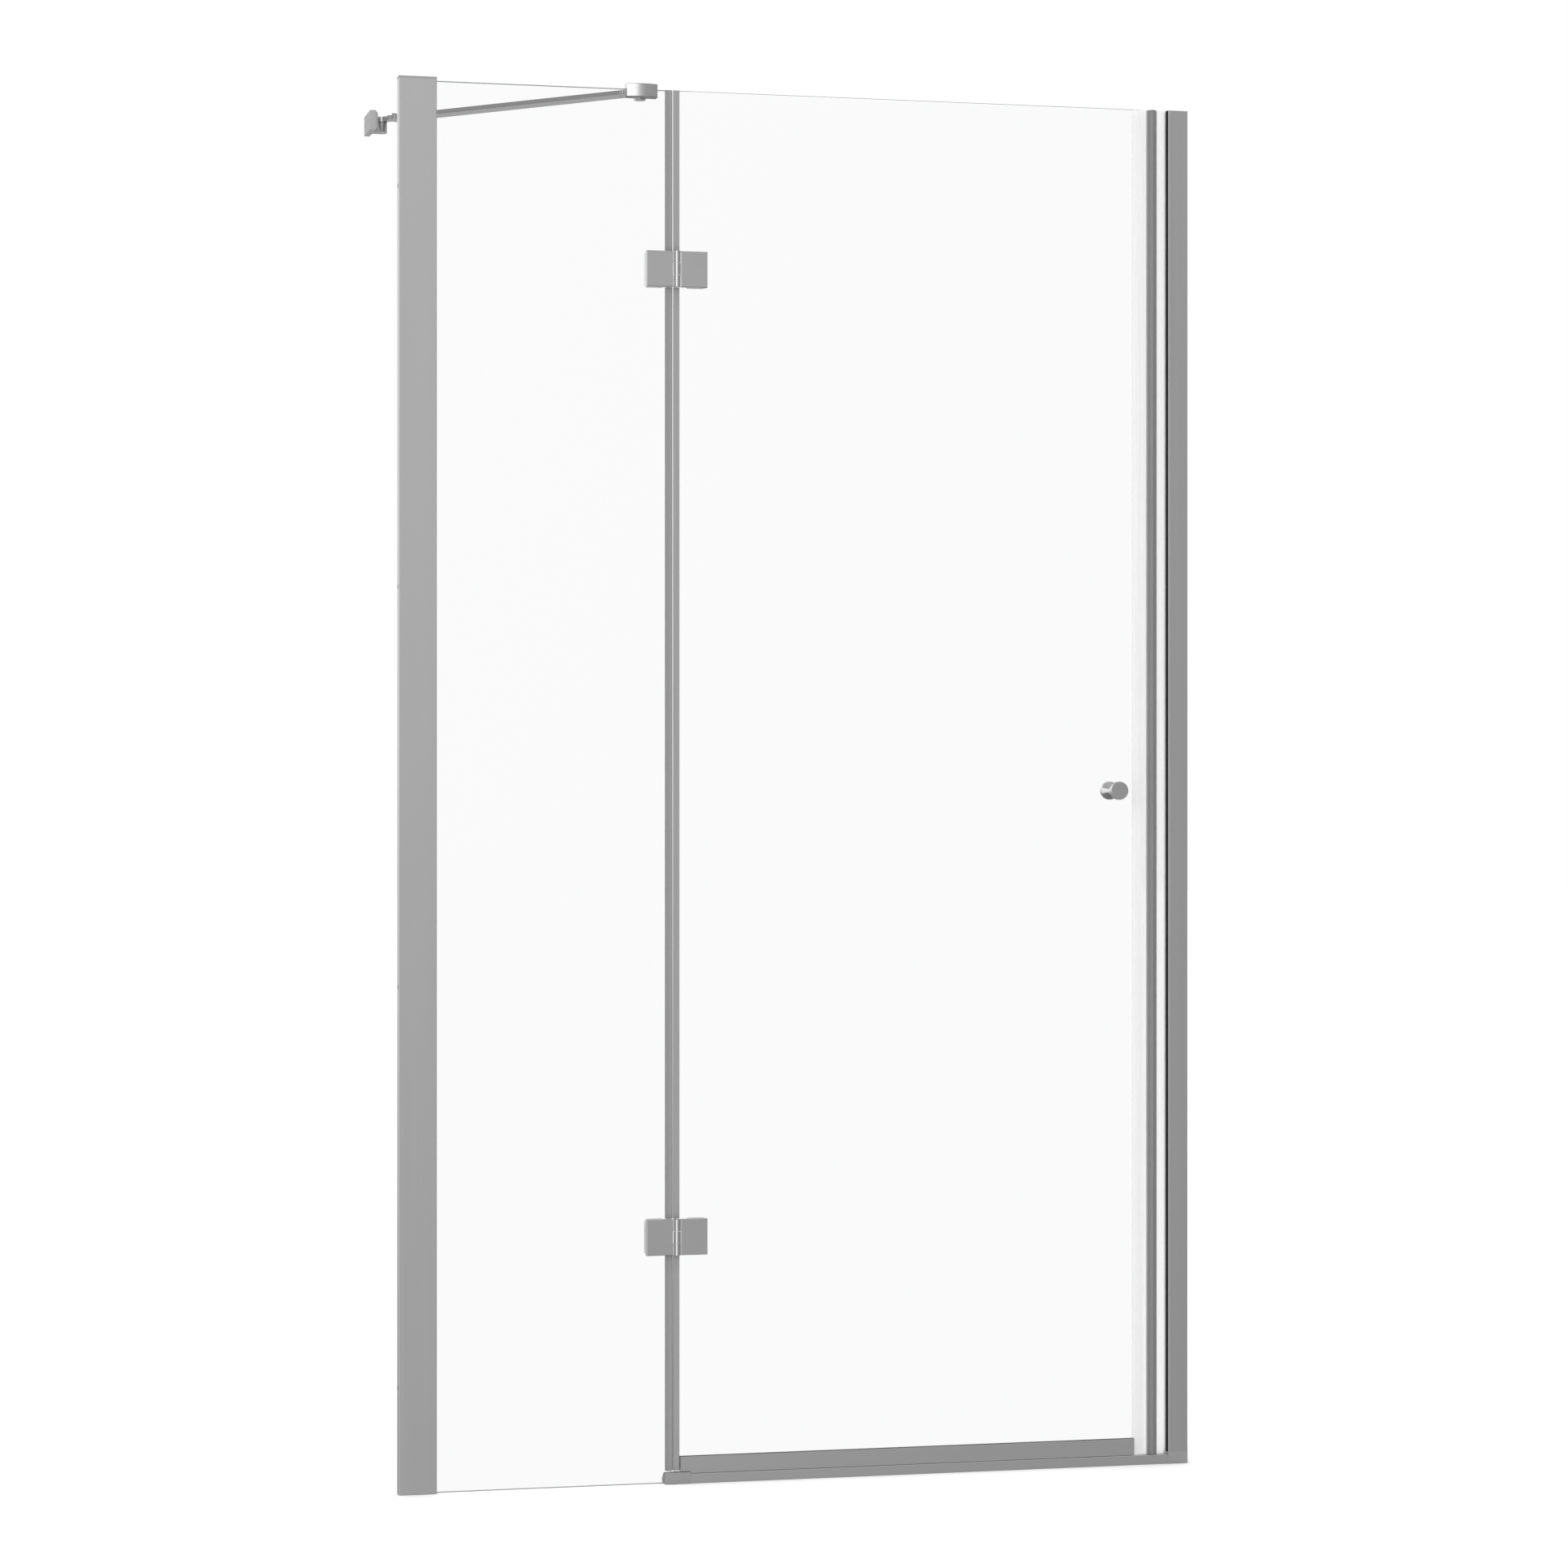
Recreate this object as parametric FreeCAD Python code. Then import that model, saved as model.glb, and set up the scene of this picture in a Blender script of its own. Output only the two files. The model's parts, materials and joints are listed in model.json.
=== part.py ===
import FreeCAD, Part
import math
import os

# A niche shower door: a fixed glass panel in a wall profile, and a glass door hung from it.
# Millimetres. X runs from the left wall to the right wall, Y from the middle of the glass into
# the shower, Z up from the tray. The origin is on the left wall, at tray level.

V = FreeCAD.Vector

# Overall sizes
OPENING_WIDTH = 1170.0
DOOR_HEIGHT = 2000.0
GLASS_THICKNESS = 6.0
GLASS_ARRIS = 1.0
HINGE_AXIS_X = 400.0

# Clearances
FIT = 0.05
SLIDE_CLEARANCE = 0.3
SWING_CLEARANCE = 0.8
SMALL_ROUND = 0.5

# Wall profiles: a channel screwed to the wall and a cover that slides over it
PROFILE_DEPTH = 18.0
PROFILE_WALL = 1.6
PROFILE_WEB = 2.0
PROFILE_EDGE_RADIUS = 0.8
LEFT_PROFILE_WIDTH = 54.0
RIGHT_PROFILE_WIDTH = 30.0
LEFT_CHANNEL_WIDTH = 26.0
RIGHT_CHANNEL_WIDTH = 13.0
CHANNEL_WALL = 1.6
CHANNEL_WEB_GAP = 2.0
WALL_HOLE_RADIUS = 3.0
WALL_HOLE_END = 150.0
WALL_HOLE_COUNT = 4
CAP_THICKNESS = 3.0
CAP_PLUG_DEPTH = 8.0
CAP_CHAMFER = 0.4
GLASS_DROP = 1.5
RIGHT_PROFILE_DROP = 0.5

# Screws that fix a cover to its channel
COVER_SCREW_RADIUS = 1.75
COVER_SCREW_HEAD_RADIUS = 3.5
COVER_SCREW_HEAD = 2.2
COVER_SCREW_REACH = 5.0
COVER_SCREW_END = 200.0
COVER_SCREW_COUNT = 3

# Glazing gasket in the left profile
GASKET_FLOOR = 3.0
GASKET_RECESS = 0.8

# Edge seals between the two panes
FIXED_EDGE_SETBACK = 9.0
DOOR_EDGE_SETBACK = 1.5
SEAL_WALL = 1.3
FIXED_SEAL_LEG = 6.2
FIXED_SEAL_NOSE = 3.9
DOOR_SEAL_LEG = 6.2
DOOR_SEAL_NOSE = 2.8
DOOR_SEAL_ROUND = 0.5
SEAL_HINGE_GAP = 0.3
SEAL_END_GAP = 2.0

# Hinges
UPPER_HINGE_DROP = 256.5
LOWER_HINGE_HEIGHT = 353.0
HINGE_HEIGHT = 51.5
LEAF_WIDTH = 38.7
LEAF_THICKNESS = 6.5
LEAF_EDGE_RADIUS = 0.8
LEAF_WEB = 4.5
LEAF_WEB_STEP = 0.5
LEAF_SKIN = 2.5
CLAMP_PLATE_WIDTH = 29.0
CLAMP_PLATE_THICKNESS = 6.0
CLAMP_PLATE_CHAMFER = 3.0
HINGE_PAD = 1.0
HINGE_PAD_INSET = 0.2
KNUCKLE_WALL = 1.4
KNUCKLE_STANDOFF = 1.5
PIN_RADIUS = 2.5
PIN_RECESS = 0.4
BUSH_WALL = 1.0
BUSH_FLANGE = 0.5
BUSH_FLANGE_STEP = 0.4
BUSH_RUN = 0.2
BUSH_SPACE = 0.6
CLAMP_SCREW_RADIUS = 2.5
CLAMP_SCREW_HEAD_RADIUS = 5.0
CLAMP_SCREW_SOCKET = 1.6
CLAMP_SCREW_SOCKET_DEPTH = 2.2
CLAMP_SCREW_SPREAD = 28.0
CLAMP_HOLE_RADIUS = 6.0

# Closing edge: door seal and strike seal, each with a magnet strip
STRIKE_SETBACK = 54.0
MAGNET_GAP = 0.4
DOOR_EDGE_TO_STRIKE = 14.0
DOOR_MAGNET_WIDTH = 6.0
STRIKE_MAGNET_WIDTH = 7.6
MAGNET_RIDGE = 9.8
MAGNET_SHOULDER = 2.5
MAGNET_BACK = 3.0
MAGNET_NOSE = 0.8
MAGNET_BEVEL = 2.0
MAGNET_SEAL_LEG = 14.6
MAGNET_SEAL_WALL = 1.2
MAGNET_FIN = 3.2
STRIKE_PLATE = 3.0
STRIKE_FOOT = 12.0
WEDGE_PROUD = 1.5
BACK_WEDGE_RECESS = 3.0

# Threshold
THRESHOLD_HEIGHT = 13.5
THRESHOLD_DEPTH = 24.0
THRESHOLD_FLAT = 11.0
THRESHOLD_BACK_HEIGHT = 5.0
THRESHOLD_WALL = 1.8
THRESHOLD_EDGE_RADIUS = 0.8
END_PROUD = 1.0
END_EDGE_RADIUS = 1.2
END_SPIGOT = 14.0
END_GLASS_GRIP = 8.2
LEFT_END_WIDTH = 37.2
LEFT_END_HEIGHT = 16.0
RIGHT_END_WIDTH = 31.0
RIGHT_END_HEIGHT = 17.5

# Drip profile on the door's bottom edge
DRIP_GAP = 1.1
DRIP_HEIGHT = 23.0
DRIP_WALL = 1.7
DRIP_GASKET = 0.75
DRIP_GASKET_SHOW = 0.5
DRIP_FLOOR = 2.4
DRIP_LIP_SLOT = 3.8
DRIP_LIP_THICKNESS = 2.0
DRIP_LIP_CLEARANCE = 0.5
DRIP_LEFT_GAP = 1.3
DRIP_SEAL_OVERLAP = 1.0
DRIP_SEAL_GAP = 0.4

# Knob
KNOB_HEIGHT = 992.0
KNOB_FROM_EDGE = 43.0
KNOB_RADIUS = 13.25
KNOB_NECK_RADIUS = 7.3
KNOB_NECK = 4.0
KNOB_FLANK = 12.0
KNOB_RIM = 7.6
KNOB_EDGE_RADIUS = 0.8
KNOB_WASHER = 1.0
KNOB_STUD_RADIUS = 3.0
KNOB_STUD_GRIP = 12.0
KNOB_HOLE_RADIUS = 5.0

# Brace from the fixed pane's top edge to the left wall
BRACE_CLAMP_INSET = 41.0
BRACE_CLAMP_WIDTH = 44.6
BRACE_CLAMP_ABOVE = 7.5
BRACE_CLAMP_BELOW = 12.0
BRACE_FRONT_JAW = 2.0
BRACE_BACK_JAW = 5.0
BRACE_CLAMP_BULGE = 4.5
BRACE_CLAMP_TOP_RADIUS = 0.8
BRACE_CLAMP_FOOT_RADIUS = 1.5
BRACE_LINER = 1.0
BRACE_PIVOT_SETBACK = 10.5
BRACE_BOSS_RADIUS = 9.0
BRACE_THICKNESS = 6.0
BRACE_WIDTH = 30.0
BRACE_EYE_RADIUS = 9.0
BRACE_NECK = 24.0
BRACE_WALL_NECK = 38.5
BRACE_COLLAR_START = 12.0
BRACE_GROOVE = 1.2
BRACE_GROOVE_DEPTH = 1.0
BRACE_GROOVE_PLACES = (15.0, 19.5)
BRACE_TONGUE = 16.0
BRACE_TONGUE_WIDTH = 12.0
BRACE_TONGUE_THICKNESS = 3.0
BRACE_DROP = 5.0
BRACE_PIN_RADIUS = 3.5
BRACE_PIN_COVER = 2.0
BRACE_HEAD_RADIUS = 8.2
BRACE_HEAD = 1.8
GRUB_SCREW_RADIUS = 2.0
GRUB_SCREW_EDGE = 6.0
GRUB_SCREW_SETBACK = 3.2
BAR_SCREW_RADIUS = 1.5
BAR_SCREW_HEAD_RADIUS = 2.8
BRACKET_PIN_X = 21.5
BRACKET_PIN_Y = 335.0
BRACKET_THICKNESS = 12.0
BRACKET_LENGTH = 69.0
BRACKET_ABOVE_BAR = 5.8
BRACKET_HEIGHT = 28.5
BRACKET_BEVEL = 4.0
BRACKET_LUG_RADIUS = 8.0
BRACKET_LUG_DROP = 0.5
BRACKET_LUG_ROUND = 1.5
BRACKET_SLOT_TOP = 11.5
BRACKET_SLOT_BOTTOM = 7.0
BRACKET_SLOT_HEIGHT = 14.5
BRACKET_SLOT_BACK = 1.5
BRACKET_EYE_RADIUS = 7.5
BRACKET_EYE_HEIGHT = 7.0
BRACKET_NECK_WIDTH = 10.0
BRACKET_COLLAR_START = 16.6
BRACKET_SHOULDER_RADIUS = 9.0
BRACKET_RING_START = 31.0
BRACKET_RING_END = 35.0
BRACKET_RING_PROUD = 0.6
BRACKET_RING_RISE = 2.3
BRACKET_HOLE_RADIUS = 2.5
BRACKET_HOLE_SPREAD = 48.0
BRACKET_COUNTERBORE_RADIUS = 5.0
BRACKET_COUNTERBORE = 5.0

# Worked out from the sizes above
GLASS_HALF = GLASS_THICKNESS / 2
PROFILE_HALF = PROFILE_DEPTH / 2
PROFILE_INNER = PROFILE_HALF - PROFILE_WALL
CHANNEL_HALF = PROFILE_INNER - SLIDE_CLEARANCE
LEFT_WALL = (0.0, 1.0)
RIGHT_WALL = (OPENING_WIDTH, -1.0)
LEFT_PROFILE_TOP = DOOR_HEIGHT - CAP_THICKNESS
GLASS_TOP = LEFT_PROFILE_TOP - GLASS_DROP
RIGHT_PROFILE_TOP = GLASS_TOP - RIGHT_PROFILE_DROP
LEFT_WEB_END = LEFT_CHANNEL_WIDTH + CHANNEL_WEB_GAP + PROFILE_WEB
RIGHT_WEB_END = RIGHT_CHANNEL_WIDTH + CHANNEL_WEB_GAP + PROFILE_WEB
FIXED_GLASS_LEFT = LEFT_WEB_END + GASKET_FLOOR + SLIDE_CLEARANCE
FIXED_GLASS_RIGHT = HINGE_AXIS_X - FIXED_EDGE_SETBACK
DOOR_GLASS_LEFT = HINGE_AXIS_X - DOOR_EDGE_SETBACK
STRIKE_X = OPENING_WIDTH - STRIKE_SETBACK
DOOR_GLASS_RIGHT = STRIKE_X - DOOR_EDGE_TO_STRIKE
DRIP_BOTTOM = THRESHOLD_HEIGHT + DRIP_GAP
DRIP_SEAT = DRIP_BOTTOM + DRIP_LIP_SLOT + DRIP_FLOOR
DOOR_GLASS_BOTTOM = DRIP_SEAT + FIT + DRIP_GASKET + FIT
DRIP_TOP = DRIP_BOTTOM + DRIP_HEIGHT
DRIP_GASKET_TOP = DRIP_TOP + DRIP_GASKET_SHOW
MAGNET_SEAL_LEFT = DOOR_GLASS_RIGHT - MAGNET_SEAL_LEG
DRIP_RIGHT = MAGNET_SEAL_LEFT + DRIP_SEAL_OVERLAP
SEAL_BOTTOM = LEFT_END_HEIGHT + SEAL_END_GAP
LIP_BOTTOM = THRESHOLD_HEIGHT + DRIP_LIP_CLEARANCE
LEAF_BACK = -GLASS_HALF - HINGE_PAD
LEAF_FRONT = LEAF_BACK - LEAF_THICKNESS
BUSH_RADIUS = PIN_RADIUS + FIT + BUSH_WALL
KNUCKLE_RADIUS = BUSH_RADIUS + FIT + KNUCKLE_WALL
LEAF_GAP = KNUCKLE_RADIUS + SWING_CLEARANCE
LEAF_REACH = LEAF_GAP + LEAF_WIDTH
HINGE_AXIS_Y = -GLASS_HALF - KNUCKLE_STANDOFF - KNUCKLE_RADIUS
KNUCKLE_SPACE = BUSH_FLANGE + BUSH_RUN
KNUCKLE_LENGTH = (HINGE_HEIGHT - 2 * KNUCKLE_SPACE) / 3
CLAMP_SCREW_REACH = LEAF_REACH - CLAMP_PLATE_WIDTH / 2
CLAMP_SCREW_GRIP = LEAF_THICKNESS - LEAF_SKIN
CLAMP_PLATE_FRONT = GLASS_HALF + HINGE_PAD
CLAMP_PLATE_BACK = CLAMP_PLATE_FRONT + CLAMP_PLATE_THICKNESS
HINGE_MIDDLES = {"upper": GLASS_TOP - UPPER_HINGE_DROP, "lower": LOWER_HINGE_HEIGHT}
THRESHOLD_LEFT = FIXED_GLASS_RIGHT - END_GLASS_GRIP + LEFT_END_WIDTH
THRESHOLD_RIGHT = OPENING_WIDTH - RIGHT_END_WIDTH
KNOB_X = DOOR_GLASS_RIGHT - KNOB_FROM_EDGE
BRACE_CLAMP_X = FIXED_GLASS_RIGHT - BRACE_CLAMP_INSET
BRACE_PIVOT_Y = GLASS_HALF + BRACE_PIVOT_SETBACK
BRACE_CLAMP_TOP = GLASS_TOP + BRACE_CLAMP_ABOVE
BRACE_CLAMP_BOTTOM = GLASS_TOP - BRACE_CLAMP_BELOW
BRACE_BOTTOM = GLASS_TOP - BRACE_DROP
BRACE_TOP = BRACE_BOTTOM + BRACE_THICKNESS
BRACKET_EYE_TOP = BRACE_BOTTOM + BRACKET_EYE_HEIGHT
BRACE_SPAN_X = BRACKET_PIN_X - BRACE_CLAMP_X
BRACE_SPAN_Y = BRACKET_PIN_Y - BRACE_PIVOT_Y
BRACE_RUN = math.hypot(BRACE_SPAN_X, BRACE_SPAN_Y)
BRACE_ANGLE = math.degrees(math.atan2(BRACE_SPAN_Y, BRACE_SPAN_X))


def block(x0, x1, y0, y1, z0, z1):
    """A box between two corners."""
    return Part.makeBox(x1 - x0, y1 - y0, z1 - z0, V(x0, y0, z0))


def upright(x, y, z0, z1, radius):
    """A cylinder along Z."""
    return Part.makeCylinder(radius, z1 - z0, V(x, y, z0))


def along_y(x, z, y0, y1, radius):
    """A cylinder along Y."""
    return Part.makeCylinder(radius, y1 - y0, V(x, y0, z), V(0, 1, 0))


def along_x(y, z, x0, x1, radius):
    """A cylinder along X."""
    return Part.makeCylinder(radius, x1 - x0, V(x0, y, z), V(1, 0, 0))


def prism_z(points, z0, z1):
    """A polygon of X and Y points, raised from z0 to z1."""
    corners = [V(x, y, z0) for x, y in points]
    face = Part.Face(Part.makePolygon(corners + corners[:1]))
    return face.extrude(V(0, 0, z1 - z0))


def prism_x(points, x0, x1):
    """A polygon of Y and Z points, drawn out from x0 to x1."""
    corners = [V(x0, y, z) for y, z in points]
    face = Part.Face(Part.makePolygon(corners + corners[:1]))
    return face.extrude(V(x1 - x0, 0, 0))


def prism_y(points, y0, y1):
    """A polygon of X and Z points, drawn out from y0 to y1."""
    corners = [V(x, y0, z) for x, z in points]
    face = Part.Face(Part.makePolygon(corners + corners[:1]))
    return face.extrude(V(0, y1 - y0, 0))


def single(shape):
    """The only solid of a shape."""
    if len(shape.Solids) != 1:
        raise ValueError("expected one solid, found " + str(len(shape.Solids)))
    return shape.Solids[0]


def join(*shapes):
    """One solid from several that meet."""
    return single(shapes[0].fuse(list(shapes[1:])).removeSplitter())


def without(shape, *tools):
    """The solid that is left when the tools are cut away."""
    return single(shape.cut(list(tools)))


def edges_where(shape, test):
    """The straight or curved edges whose middle passes the test."""
    return [edge for edge in shape.Edges if test(edge.CenterOfMass)]


def rounded(shape, radius, test):
    """The shape with the edges that pass the test rounded."""
    return single(shape.makeFillet(radius, edges_where(shape, test)))


def bevelled(shape, size, test):
    """The shape with the edges that pass the test bevelled."""
    return single(shape.makeChamfer(size, edges_where(shape, test)))


def near(a, b):
    """True where two lengths are the same."""
    return abs(a - b) < 1e-4


def save(name, *solids):
    """Write one node, as a solid or as a group of separate solids."""
    shape = solids[0] if len(solids) == 1 else Part.makeCompound(list(solids))
    shape.exportStep("parts/" + name + ".step")


def spaced(first, last, count):
    """Evenly spaced values with both ends."""
    return [first + (last - first) * i / (count - 1) for i in range(count)]


# Wall profiles
def from_wall(wall, distance):
    """The X of a distance out from a wall."""
    place, side = wall
    return place + side * distance


def wall_block(wall, near_side, far_side, y0, y1, z0, z1):
    """A box between two distances from a wall."""
    x0, x1 = sorted((from_wall(wall, near_side), from_wall(wall, far_side)))
    return block(x0, x1, y0, y1, z0, z1)


def cover_screw_heights(bottom, top):
    return spaced(bottom + COVER_SCREW_END, top - COVER_SCREW_END, COVER_SCREW_COUNT)


def cover_screw_holes(wall, channel_width, bottom, top):
    """Holes through the back flanges of a cover and its channel."""
    x = from_wall(wall, channel_width / 2)
    radius = COVER_SCREW_RADIUS + FIT
    return [along_y(x, z, 0, PROFILE_HALF, radius) for z in cover_screw_heights(bottom, top)]


def wall_channel(wall, width, bottom, channel_top, cover_top):
    """The channel on the wall, open away from it, with a row of holes in its web."""
    outer = wall_block(wall, 0, width, -CHANNEL_HALF, CHANNEL_HALF, bottom, channel_top)
    inner_half = CHANNEL_HALF - CHANNEL_WALL
    inner = wall_block(wall, CHANNEL_WALL, width, -inner_half, inner_half, bottom, channel_top)
    x0, x1 = sorted((from_wall(wall, 0), from_wall(wall, CHANNEL_WALL)))
    heights = spaced(WALL_HOLE_END, GLASS_TOP - WALL_HOLE_END, WALL_HOLE_COUNT)
    holes = [along_x(0, z, x0, x1, WALL_HOLE_RADIUS) for z in heights]
    return without(outer, inner, *holes, *cover_screw_holes(wall, width, bottom, cover_top))


def cover_profile(wall, width, channel_width, bottom, top):
    """The visible profile: two flanges and a web, open to the wall and to the opening."""
    web_start = channel_width + CHANNEL_WEB_GAP
    outer = wall_block(wall, 0, width, -PROFILE_HALF, PROFILE_HALF, bottom, top)
    outer = rounded(outer, PROFILE_EDGE_RADIUS,
                    lambda p: near(abs(p.y), PROFILE_HALF) and near(p.z, (bottom + top) / 2))
    wall_pocket = wall_block(wall, 0, web_start, -PROFILE_INNER, PROFILE_INNER, bottom, top)
    mouth = wall_block(wall, web_start + PROFILE_WEB, width, -PROFILE_INNER, PROFILE_INNER, bottom, top)
    return without(outer, wall_pocket, mouth, *cover_screw_holes(wall, channel_width, bottom, top))


def cover_screws(wall, channel_width, bottom, top):
    """Pan-head screws from the shower side into the channel's back flange."""
    x = from_wall(wall, channel_width / 2)
    screws = []
    for z in cover_screw_heights(bottom, top):
        shank = along_y(x, z, PROFILE_HALF - COVER_SCREW_REACH, PROFILE_HALF, COVER_SCREW_RADIUS)
        head = along_y(x, z, PROFILE_HALF, PROFILE_HALF + COVER_SCREW_HEAD, COVER_SCREW_HEAD_RADIUS)
        head = rounded(head, SMALL_ROUND, lambda p: near(p.y, PROFILE_HALF + COVER_SCREW_HEAD))
        screws.append(join(shank, head))
    return screws


def cap_plug(wall, channel_width, top):
    """The block that fills the channel inside a cover at its top."""
    half = CHANNEL_HALF - CHANNEL_WALL - FIT
    start = CHANNEL_WALL + SLIDE_CLEARANCE
    depth = channel_width + CHANNEL_WEB_GAP - SLIDE_CLEARANCE
    return wall_block(wall, start, depth, -half, half, top - CAP_PLUG_DEPTH, top)


def make_left_profile():
    channel_top = LEFT_PROFILE_TOP - SLIDE_CLEARANCE
    save("left_wall_channel",
         wall_channel(LEFT_WALL, LEFT_CHANNEL_WIDTH, 0, channel_top, LEFT_PROFILE_TOP))
    save("left_cover_profile",
         cover_profile(LEFT_WALL, LEFT_PROFILE_WIDTH, LEFT_CHANNEL_WIDTH, 0, LEFT_PROFILE_TOP))
    save("left_profile_screws", *cover_screws(LEFT_WALL, LEFT_CHANNEL_WIDTH, 0, LEFT_PROFILE_TOP))
    lid = block(0, LEFT_PROFILE_WIDTH, -PROFILE_HALF, PROFILE_HALF, LEFT_PROFILE_TOP, DOOR_HEIGHT)
    lid = bevelled(lid, CAP_CHAMFER, lambda p: near(p.z, DOOR_HEIGHT))
    save("left_top_cap", join(lid, cap_plug(LEFT_WALL, LEFT_CHANNEL_WIDTH, LEFT_PROFILE_TOP)))
    gasket_half = PROFILE_INNER - FIT
    gasket_end = LEFT_PROFILE_WIDTH - GASKET_RECESS
    gasket = block(LEFT_WEB_END, gasket_end, -gasket_half, gasket_half, 0, GLASS_TOP)
    glass_half = GLASS_HALF + FIT
    slot_start = LEFT_WEB_END + GASKET_FLOOR
    slot = block(slot_start, gasket_end, -glass_half, glass_half, 0, GLASS_TOP)
    save("left_glazing_gasket", without(gasket, slot))


def make_right_profile():
    bottom = RIGHT_END_HEIGHT
    save("right_wall_channel",
         wall_channel(RIGHT_WALL, RIGHT_CHANNEL_WIDTH, bottom, RIGHT_PROFILE_TOP, RIGHT_PROFILE_TOP))
    save("right_cover_profile",
         cover_profile(RIGHT_WALL, RIGHT_PROFILE_WIDTH, RIGHT_CHANNEL_WIDTH, bottom, RIGHT_PROFILE_TOP))
    save("right_profile_screws",
         *cover_screws(RIGHT_WALL, RIGHT_CHANNEL_WIDTH, bottom, RIGHT_PROFILE_TOP))
    save("right_top_plug", cap_plug(RIGHT_WALL, RIGHT_CHANNEL_WIDTH, RIGHT_PROFILE_TOP))
    inner = STRIKE_PLATE / 2 + FIT
    outer = PROFILE_INNER - FIT
    front_end = RIGHT_PROFILE_WIDTH + WEDGE_PROUD
    back_end = RIGHT_PROFILE_WIDTH - BACK_WEDGE_RECESS
    save("right_mouth_wedges",
         wall_block(RIGHT_WALL, RIGHT_WEB_END, front_end, -outer, -inner, bottom, RIGHT_PROFILE_TOP),
         wall_block(RIGHT_WALL, RIGHT_WEB_END, back_end, inner, outer, bottom, RIGHT_PROFILE_TOP))


# Glass and its edge seals
def pane(x0, x1, z0, z1):
    """A sheet of glass with its edges ground off."""
    sheet = block(x0, x1, -GLASS_HALF, GLASS_HALF, z0, z1)
    return single(sheet.makeChamfer(GLASS_ARRIS, sheet.Edges))


def clamp_screw_heights(middle):
    return (middle - CLAMP_SCREW_SPREAD / 2, middle + CLAMP_SCREW_SPREAD / 2)


def hinge_holes(side):
    """The holes through one pane for the clamp screws of both hinges."""
    x = HINGE_AXIS_X + side * CLAMP_SCREW_REACH
    holes = []
    for middle in HINGE_MIDDLES.values():
        for z in clamp_screw_heights(middle):
            holes.append(along_y(x, z, -GLASS_HALF, GLASS_HALF, CLAMP_HOLE_RADIUS))
    return holes


def seal_lengths(bottom, top):
    """The heights that an edge seal covers between and beside the hinges."""
    half = HINGE_HEIGHT / 2 + SEAL_HINGE_GAP
    low = HINGE_MIDDLES["lower"]
    high = HINGE_MIDDLES["upper"]
    return ((bottom, low - half), (low + half, high - half), (high + half, top))


def fixed_seal(z0, z1):
    """A seal that grips the fixed pane's edge, with a rounded nose past it."""
    edge = FIXED_GLASS_RIGHT
    inner = GLASS_HALF + FIT
    outer = inner + SEAL_WALL
    leg_end = edge - FIXED_SEAL_LEG
    floor = edge + FIT
    front_nose = V(edge, -outer, z0)
    back_nose = V(edge, outer, z0)
    tip = V(edge + FIXED_SEAL_NOSE, 0, z0)
    rest = [back_nose, V(leg_end, outer, z0), V(leg_end, inner, z0), V(floor, inner, z0),
            V(floor, -inner, z0), V(leg_end, -inner, z0), V(leg_end, -outer, z0), front_nose]
    edges = [Part.Arc(front_nose, tip, back_nose).toShape()]
    for start, end in zip(rest, rest[1:]):
        edges.append(Part.LineSegment(start, end).toShape())
    return Part.Face(Part.Wire(edges)).extrude(V(0, 0, z1 - z0))


def door_seal(z0, z1):
    """A seal that grips the door pane's edge, with a flat face towards the fixed seal's nose."""
    edge = DOOR_GLASS_LEFT
    inner = GLASS_HALF + FIT
    outer = inner + SEAL_WALL
    leg_end = edge + DOOR_SEAL_LEG
    face = edge - DOOR_SEAL_NOSE
    body = block(face, leg_end, -outer, outer, z0, z1)
    body = rounded(body, DOOR_SEAL_ROUND, lambda p: near(p.x, face) and near(abs(p.y), outer))
    return without(body, block(edge - FIT, leg_end, -inner, inner, z0, z1))


def make_fixed_glass():
    glass = pane(FIXED_GLASS_LEFT, FIXED_GLASS_RIGHT, 0, GLASS_TOP)
    save("fixed_glass", without(glass, *hinge_holes(-1)))
    save("fixed_edge_seal", *[fixed_seal(z0, z1) for z0, z1 in seal_lengths(SEAL_BOTTOM, GLASS_TOP)])


def make_door_glass():
    glass = pane(DOOR_GLASS_LEFT, DOOR_GLASS_RIGHT, DOOR_GLASS_BOTTOM, GLASS_TOP)
    knob_hole = along_y(KNOB_X, KNOB_HEIGHT, -GLASS_HALF, GLASS_HALF, KNOB_HOLE_RADIUS)
    save("door_glass", without(glass, knob_hole, *hinge_holes(1)))
    save("door_hinge_seal", *[door_seal(z0, z1) for z0, z1 in seal_lengths(SEAL_BOTTOM, GLASS_TOP)])


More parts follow.
